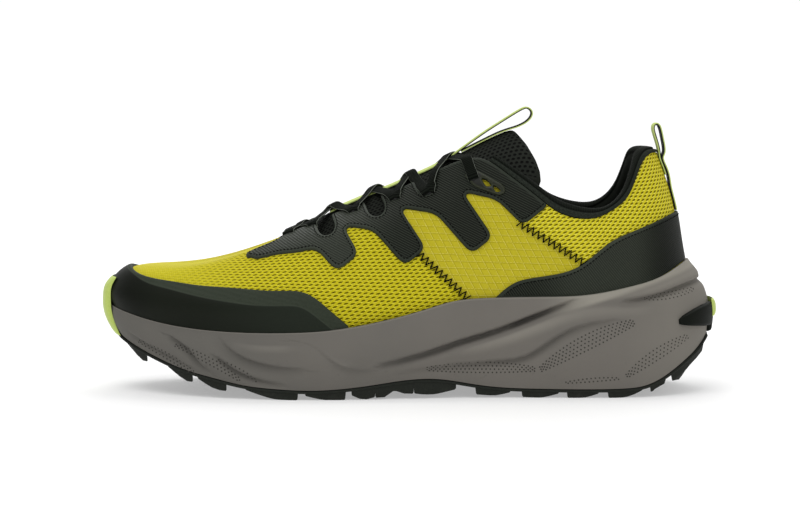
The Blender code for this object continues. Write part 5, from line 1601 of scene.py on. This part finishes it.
# Pull loops: narrow woven tape, lime outside and dark inside, sewn flat down the tongue and down the
# back of the heel with a free loop at the top of each.
LOOP_WIDTH = 9.0
LOOP_TAPE = 1.0
TAPE_CROWN = 0.9
TAPE_POINTS = 160
TAPE_SPANS = 9
OUTGOING_SHARE = 0.6
CROWN_END = 24.0
CROWN_FADE = 9.0
TONGUE_LOOP = table(
    "x       z",
    (-39.0, 87.15), (-33.0, 90.1), (-25.0, 93.55), (-16.0, 97.1), (-6.0, 101.3), (4.0, 105.8),
    (11.0, 109.0), (17.0, 112.1), (22.0, 115.2), (34.1, 123.9), (44.0, 130.4), (53.4, 136.2),
    (57.4, 137.4), (59.4, 135.4), (58.2, 132.0), (53.5, 128.9), (47.4, 126.85), (42.0, 124.75),
    (36.0, 121.85), (30.5, 119.1), (25.0, 116.25),
)
HEEL_LOOP = table(
    "x       z",
    (121.6, 117.4), (120.1, 122.8), (118.9, 127.4), (119.9, 129.6), (121.9, 128.4), (123.4, 122.6),
    (124.3, 116.4),
)
HEEL_LINE = (60 / 199, 1.0, 140)
HEEL_TUCK = (105.0, 109.0, 113.0)
TUCK_LIFT = 0.6
HEEL_STRAND = (113.0, 87.6)
STRAND_POINTS = 7
STRAND_LIFT = table("z lift", (98.0, 0.58), (105.0, 1.72))


def woven_tape(shade):
    along, across = shade.flat_map("tape")
    weft = (along / 0.55).tooth() * 2.0
    warp = (across * 7.0).math("SINE") * 0.5 + 0.5
    lime = (weft * warp * 0.5).blend((196, 212, 124), (160, 178, 84))
    colour = shade.measure("face").step(0.4, 0.6).blend((22, 24, 20), lime)
    return colour, None, weft * 0.08 + warp * 0.05


tape_weave = finish("tape_weave", woven_tape, 0.7, Specular_IOR_Level=0.15)


def tape(name, line, node):
    """Band along a line in the middle plane, crowned in front like the pad below it."""
    line = spline(np.linspace(0, 1, len(line)), line, np.linspace(0, 1, TAPE_POINTS))
    along = unit(np.gradient(line, axis=0))
    across = np.linspace(-LOOP_WIDTH / 2, LOOP_WIDTH / 2, TAPE_SPANS)
    outgoing = np.arange(TAPE_POINTS) < TAPE_POINTS * OUTGOING_SHARE
    crown = TAPE_CROWN * np.clip((CROWN_END - line[:, 0]) / CROWN_FADE, 0, 1) * outgoing
    fall = crown[:, None] * (across / across[-1]) ** 2
    faces = []
    for out in (LOOP_TAPE / 2, -LOOP_TAPE / 2):
        x, z = (line + np.stack([-along[:, 1], along[:, 0]], 1) * out).T[..., None]
        faces.append(np.stack(np.broadcast_arrays(x, across, z - fall), -1))
    flat = pairs(walked(line)[:, None], across)
    maps = {"tape": np.tile(flat, (2, 1)), "face": np.repeat((1.0, 0.0), len(flat))}
    piece(name, shell(*faces), tape_weave, "lime_tape", node, maps, sharp=60.0)


heel_line = on_skin(0.5, np.linspace(*HEEL_LINE))
strand_z = np.linspace(*HEEL_STRAND, STRAND_POINTS)
tuck_x, strand_x = (np.interp(z, heel_line[:, 2], heel_line[:, 0]) for z in (HEEL_TUCK, strand_z))
strand_x = strand_x + np.interp(strand_z, STRAND_LIFT["z"], STRAND_LIFT["lift"])
tuck, strand = np.stack([tuck_x + TUCK_LIFT, HEEL_TUCK], 1), np.stack([strand_x, strand_z], 1)
tape("tongue_tape", columns(TONGUE_LOOP, "x z"), "tongue_pull_loop")
tape("heel_tape", np.concatenate([tuck, columns(HEEL_LOOP, "x z"), strand]), "heel_pull_loop")

# Lace: one flat woven lace with light edges, crossed over the tongue from eyelet to eyelet and drawn
# tight, its two ends tucked in at the top eyelets.
LACE_WIDTH = 5.4
LACE_THICKNESS = 1.2
LACE_CLEAR = 0.15
LACE_ROWS = (0.150, 0.240, 0.350, 0.455, 0.545, 0.615)
LACE_LOW_ROWS = 4
LACE_INSET = 6.0
LACE_TOP_INSET = 10.0
LACE_SHIFT = 1.2
BAR_SHIFT = -1.5
LACE_OVER_PLATE = 0.2
LACE_POINTS = 61
LACE_TURN = 20
LACE_UP = np.array([-0.44, 0.0, 0.9])
LACE_END_TILT = 0.7
LACE_SQUARE = (0.6, 0.8)
CROSSING_WIDTH = 0.13
TUCK = ((1.7, 2.0), (1.5, 0.9), (0.9, 0.1))
TAPE_SEWN_TO = 18.0
LOOP_LENGTH = 440.0
HOLE_RADIUS = 3.1
HOLE_DEPTH = 0.12
HOLE_SINK = 0.1
resting = []
for name in ("eyestay_film_lateral", "eyestay_film_medial", "tongue_pad", "tongue_tape"):
    mesh = bpy.data.objects[name].data
    spots = np.array([point.co for point in mesh.vertices]) / MM
    corners = [tuple(face.vertices) for face in mesh.polygons]
    if name == "tongue_tape":
        sewn_down = spots[:, 0] < TAPE_SEWN_TO
        corners = [c for c in corners if sewn_down[list(c)].all()]
    resting.append((spots, corners))
points, corners = join(resting)
rest = BVHTree.FromPolygons([Vector(p) for p in points], corners)


def woven_lace(shade):
    along, turn = shade.flat_map("lace")
    cords = (along / 0.95).tooth() * 2.0
    edge = (turn * 2.0).tooth().step(0.37, 0.41)
    return cords.blend((2, 3, 2), (24, 28, 22)).coats((edge, (108, 112, 103))), None, cords * 0.14


lace_weave = finish("lace_weave", woven_lace, 0.85, Specular_IOR_Level=0.05)


def eyelet(row, sign, shift=0.0):
    """Place and direction of an eyelet on the eyestay, moved along the throat by a shift."""
    u = side_run(sign, LACE_ROWS[row] / 2, 0.5, 1) - sign * shift / LOOP_LENGTH
    section = walked(on_skin(u, np.linspace(0, 1, 60)))[-1]
    v = 1 - (LACE_TOP_INSET if row >= LACE_LOW_ROWS else LACE_INSET) / section
    lift = COVER_HIGH + (PLATE + LACE_OVER_PLATE if row == len(LACE_ROWS) - 1 else 0.0)
    return on_skin(u, v, lift)[0], skin_direction(u, v)[0]


def taut(floor):
    """Heights of a lace pulled tight over a floor."""
    keep = []
    for k in range(len(floor)):
        while len(keep) > 1:
            i, j = keep[-2], keep[-1]
            if (floor[j] - floor[i]) * (k - i) >= (floor[k] - floor[i]) * (j - i):
                break
            keep.pop()
        keep.append(k)
    return np.interp(np.arange(len(floor)), keep, floor[keep])


def lace_strand(start, end, over):
    """Tube with a flat section from eyelet to eyelet, over or under the strand it crosses."""
    (first, first_away), (last, last_away) = start, end
    share = np.linspace(0, 1, LACE_POINTS)
    line = first * (1 - share[:, None]) + last * share[:, None]
    hits = [rest.ray_cast(Vector((x, y, 200.0)), Vector((0, 0, -1)))[0] for x, y, _ in line]
    floor = np.array([hit.z if hit else 0.0 for hit in hits])
    floor[[0, -1]] = np.maximum(floor[[0, -1]], line[[0, -1], 2])
    line[:, 2] = taut(floor + LACE_CLEAR)
    if over:
        line[:, 2] += np.exp(-((share - 0.5) / CROSSING_WIDTH) ** 2) * (LACE_THICKNESS + LACE_CLEAR)
    for axis in range(3):
        line[2:-2, axis] = np.convolve(line[:, axis], np.ones(5) / 5, "valid")
    run_in, run_out = unit(line[0] - line[3]), unit(line[-1] - line[-4])
    head = [line[0] + run_in * a - first_away * b for a, b in TUCK]
    tail = [line[-1] + run_out * a - last_away * b for a, b in TUCK[::-1]]
    line = np.concatenate([head, line, tail])
    along = unit(np.gradient(line, axis=0))
    up = np.tile(LACE_UP, (len(line), 1))
    for end, end_away in ((slice(None, 5), first_away), (slice(-5, None), last_away)):
        up[end] = end_away * LACE_END_TILT + up[end] * (1 - LACE_END_TILT)
    wide = np.cross(along, up)
    wide[:3], wide[-3:] = wide[3], wide[-4]
    wide = unit(wide)
    up = np.cross(wide, along)
    turn = np.arange(LACE_TURN) / LACE_TURN
    a, b = np.cos(turn * 2 * math.pi), np.sin(turn * 2 * math.pi)
    a = np.sign(a) * np.abs(a) ** LACE_SQUARE[0] * LACE_WIDTH / 2
    b = (np.sign(b) * np.abs(b) ** LACE_SQUARE[1] + 1) * LACE_THICKNESS / 2
    rings = line[:, None] + wide[:, None] * a[:, None] + up[:, None] * b[:, None]
    length = walked(line)
    flat = np.concatenate([pairs(length[:, None], turn), [(0.0, 0.2), (length[-1], 0.2)]])
    return capped(rings, rings[[0, -1]].mean(axis=1)), flat


strands = [lace_strand(eyelet(0, -1, BAR_SHIFT), eyelet(0, 1, BAR_SHIFT), False)]
for row in range(len(LACE_ROWS) - 1):
    end_shift = -LACE_SHIFT if row < len(LACE_ROWS) - 2 else 0.0
    for sign in (-1, 1):
        over = row % 2 == (0 if sign < 0 else 1)
        strands.append(lace_strand(eyelet(row, sign, LACE_SHIFT), eyelet(row + 1, -sign, end_shift), over))
shapes, flats = zip(*strands)
maps = {"lace": np.concatenate(flats)}
piece("lace_strands", join(shapes), lace_weave, "lace_textile", "lace", maps, sharp=80.0)
eyelets = [eyelet(row, sign) for row in range(len(LACE_ROWS)) for sign in (-1, 1)]
holes, hole_away = (np.array(part) for part in zip(*eyelets))
hole_finish = finish("eyelet_dark", grained(0.5, 2.0, (8, 9, 8), (14, 15, 13)), 0.9)
sizes = {"Radius": HOLE_RADIUS * MM, "Depth": HOLE_DEPTH, "Finish": hole_finish}
grow("eyelet_holes", pit_tree, holes - hole_away * HOLE_SINK, [], hole_away, sizes, "black_overlay")

# Toe bumper, heel clip and heel pad: moulded rubber pieces cemented on last, a lime strip down the
# front of the toe, a black clip round the back of the foam and a lime inlay in its middle.
COVER_GAP = 0.75
BUMPER_HALF = 13.0
BUMPER_MIDDLE = 5.0
BUMPER_ROUND = 54.0
BUMPER_THICKNESS = 2.2
BUMPER_TIP = 0.2
BUMPER_ROWS, BUMPER_SPANS = 60, 49
CLIP_THICKNESS = 1.5
CLIP_INSIDE = 0.1
CLIP_SPANS, CLIP_ROWS = 147, 25
PAD_THICKNESS = 1.4
PAD_GAP = 0.05
PAD_SPANS, PAD_ROWS = 31, 21
BUMPER_LINE = table(
    "z x", (55.0, -146.5), (51.0, -148.7), (45.0, -149.4), (39.0, -149.1), (33.0, -147.6), (26.2, -144.7),
)
CLIP = table(
    "reach   low    high",
    (0.000, 28.2, 42.0),
    (0.006, 28.4, 43.0),
    (0.008, 31.6, 43.0),
    (0.016, 32.2, 42.4),
    (0.023, 32.8, 41.2),
    (0.030, 33.4, 39.4),
    (0.0335, 33.8, 38.2),
    (0.0365, 34.4, 36.6),
)
PAD_REACH = 0.0075
PAD_LOW = 36.0
PAD_HIGH = 44.5


def pillow(outer, inner, edge, rim=0.35):
    """Solid between two grids whose outer face is rounded down to a thinner rim."""
    n, m = outer.shape[:2]
    across = np.minimum(np.arange(n), np.arange(n)[::-1])[:, None] / (n - 1)
    along = np.minimum(np.arange(m), np.arange(m)[::-1])[None, :] / (m - 1)
    near = np.clip(np.minimum(across, along) / edge, 0, 1)
    share = (rim + (1 - rim) * np.sqrt(1 - (1 - near) ** 2))[..., None]
    return shell(inner + (outer - inner) * share, inner)


def clip_grid(u, low, high, rows, offset):
    """Part of the midsole's side between two heights, moved out by an offset."""
    rim_z, foot_z = on_skin(u, crossing(u, RIM_LINE))[:, 2:], sole_edge(u)[:, 2:]
    z = low[:, None] + (high - low)[:, None] * np.linspace(0, 1, rows)
    return sole_side(u, (rim_z - z) / (rim_z - foot_z))[0] + outward(u)[:, None] * offset


lime_grain = grained(0.9, 3.0, (172, 193, 86), (196, 212, 118), (0.45, 0.15), 0.05)
lime_rubber = finish("lime_rubber", lime_grain, Specular_IOR_Level=0.25)
heights = np.linspace(BUMPER_LINE["z"][0], BUMPER_LINE["z"][-1], BUMPER_ROWS)
front = spline(BUMPER_LINE["z"][::-1], BUMPER_LINE["x"][::-1], heights)[:, 0]
across = np.linspace(-BUMPER_HALF, BUMPER_HALF, BUMPER_SPANS)[:, None]
inner = np.stack(np.broadcast_arrays(front + across**2 / BUMPER_ROUND, BUMPER_MIDDLE + across, heights), -1)
fullness = np.sin(np.linspace(0, math.pi, BUMPER_ROWS)) ** 0.6
thick = BUMPER_THICKNESS * (BUMPER_TIP + (1 - BUMPER_TIP) * fullness)
outer = inner - np.stack([thick, 0 * thick, 0 * thick], 1)
piece("toe_bumper_strip", pillow(outer, inner, edge=0.1), lime_rubber, "lime_rubber", "toe_bumper")
clip_grain = grained(1.6, 3.0, (12, 15, 11), (22, 25, 20), (0.5, 0.2), 0.08)
clip_rubber = finish("clip_rubber", clip_grain, Specular_IOR_Level=0.06)
reach = np.linspace(-CLIP["reach"][-1], CLIP["reach"][-1], CLIP_SPANS)
low, high = (np.interp(np.abs(reach), CLIP["reach"], CLIP[c]) for c in ("low", "high"))
clip_out = COVER_GAP + CLIP_THICKNESS
outer, inner = (clip_grid(0.5 + reach, low, high, CLIP_ROWS, out) for out in (clip_out, CLIP_INSIDE))
piece("heel_clip_band", pillow(outer, inner, edge=0.12), clip_rubber, "black_rubber", "heel_clip")
reach = np.linspace(-PAD_REACH, PAD_REACH, PAD_SPANS)
low, high = np.full(PAD_SPANS, PAD_LOW), np.full(PAD_SPANS, PAD_HIGH)
pad_in = clip_out + PAD_GAP
outer, inner = (clip_grid(0.5 + reach, low, high, PAD_ROWS, out) for out in (pad_in + PAD_THICKNESS, pad_in))
piece("heel_pad_inlay", pillow(outer, inner, edge=0.5, rim=0.08), lime_rubber, "lime_rubber", "heel_pad")

# Studio: a plain pale floor that sweeps up behind, wide soft lamps above and in front, and the camera
# on the shoe's outer side, a little above the ground. Sizes are in metres.
SWEEP_START = 1.6
SWEEP_ROUND = 0.9
SWEEP_POINTS = 14
FLOOR_FRONT = -8.0
FLOOR_HALF = 4.0
WALL_TOP = 3.0
WHITE = (1.0, 1.0, 1.0, 1.0)
# The floor also glows faintly: painted light that lightens the shadow under the shoe and lights it from
# below.
FLOOR_GLOW = 0.36
WORLD_LIGHT = 0.45
SHOE_AIM = (0.0, 0.0, 0.05)
LAMPS = (
    ("key", (-0.35, -0.7, 1.5), 1.1, 11.0, SHOE_AIM), ("fill", (0.8, -1.4, 0.8), 1.2, 4.0, SHOE_AIM),
    ("back", (0.2, 1.0, 1.3), 1.2, 9.0, SHOE_AIM), ("wall", (0.0, 0.6, 1.9), 1.6, 26.0, (0.0, 2.4, 0.9)),
)
FOCAL_PIXELS = 2448
PHOTO_WIDTH = 800
CAMERA_SPOT = (-0.0049, -1.2, 0.150)
CAMERA_TILT = 4.03


def pale(shade):
    x, y, z = shade.object_mm()
    return shade.cloud(x, y, 0.0, 0.01).blend((0.60, 0.60, 0.60, 1), (0.62, 0.62, 0.62, 1)), None, None


turns = np.linspace(0.1, math.pi / 2, SWEEP_POINTS)
sweep = [(FLOOR_FRONT, 0.0), (SWEEP_START, 0.0)]
sweep += [(SWEEP_START + SWEEP_ROUND * math.sin(a), SWEEP_ROUND - SWEEP_ROUND * math.cos(a)) for a in turns]
sweep.append((SWEEP_START + SWEEP_ROUND, WALL_TOP))
floor_points = [(x, y, z) for y, z in sweep for x in (-FLOOR_HALF, FLOOR_HALF)]
floor_faces = [(2 * k, 2 * k + 1, 2 * k + 3, 2 * k + 2) for k in range(len(sweep) - 1)]
floor_mesh = bpy.data.meshes.new("floor")
floor_mesh.from_pydata(floor_points, [], floor_faces)
floor_mesh.shade_smooth()
floor_paint = finish("floor_paint", pale, 0.9, Emission_Color=WHITE, Emission_Strength=FLOOR_GLOW)
floor_mesh.materials.append(floor_paint)
linked("floor", floor_mesh)
world = bpy.data.worlds.new("studio")
world.use_nodes = True
world.node_tree.nodes["Background"].inputs["Color"].default_value = WHITE
world.node_tree.nodes["Background"].inputs["Strength"].default_value = WORLD_LIGHT
bpy.context.scene.world = world
for name, spot, size, power, aim in LAMPS:
    lamp = bpy.data.lights.new(name, "AREA")
    lamp.size, lamp.energy = size, power
    holder = linked(name, lamp)
    holder.location = spot
    holder.rotation_euler = (Vector(aim) - Vector(spot)).to_track_quat("-Z", "Y").to_euler()
lens = bpy.data.cameras.new("camera")
lens.sensor_width = 36.0
lens.lens = FOCAL_PIXELS * lens.sensor_width / PHOTO_WIDTH
camera = linked("camera", lens)
camera.location = CAMERA_SPOT
camera.rotation_euler = (math.radians(90 - CAMERA_TILT), 0, 0)
bpy.context.scene.camera = camera
bpy.context.scene.view_settings.view_transform = "Standard"
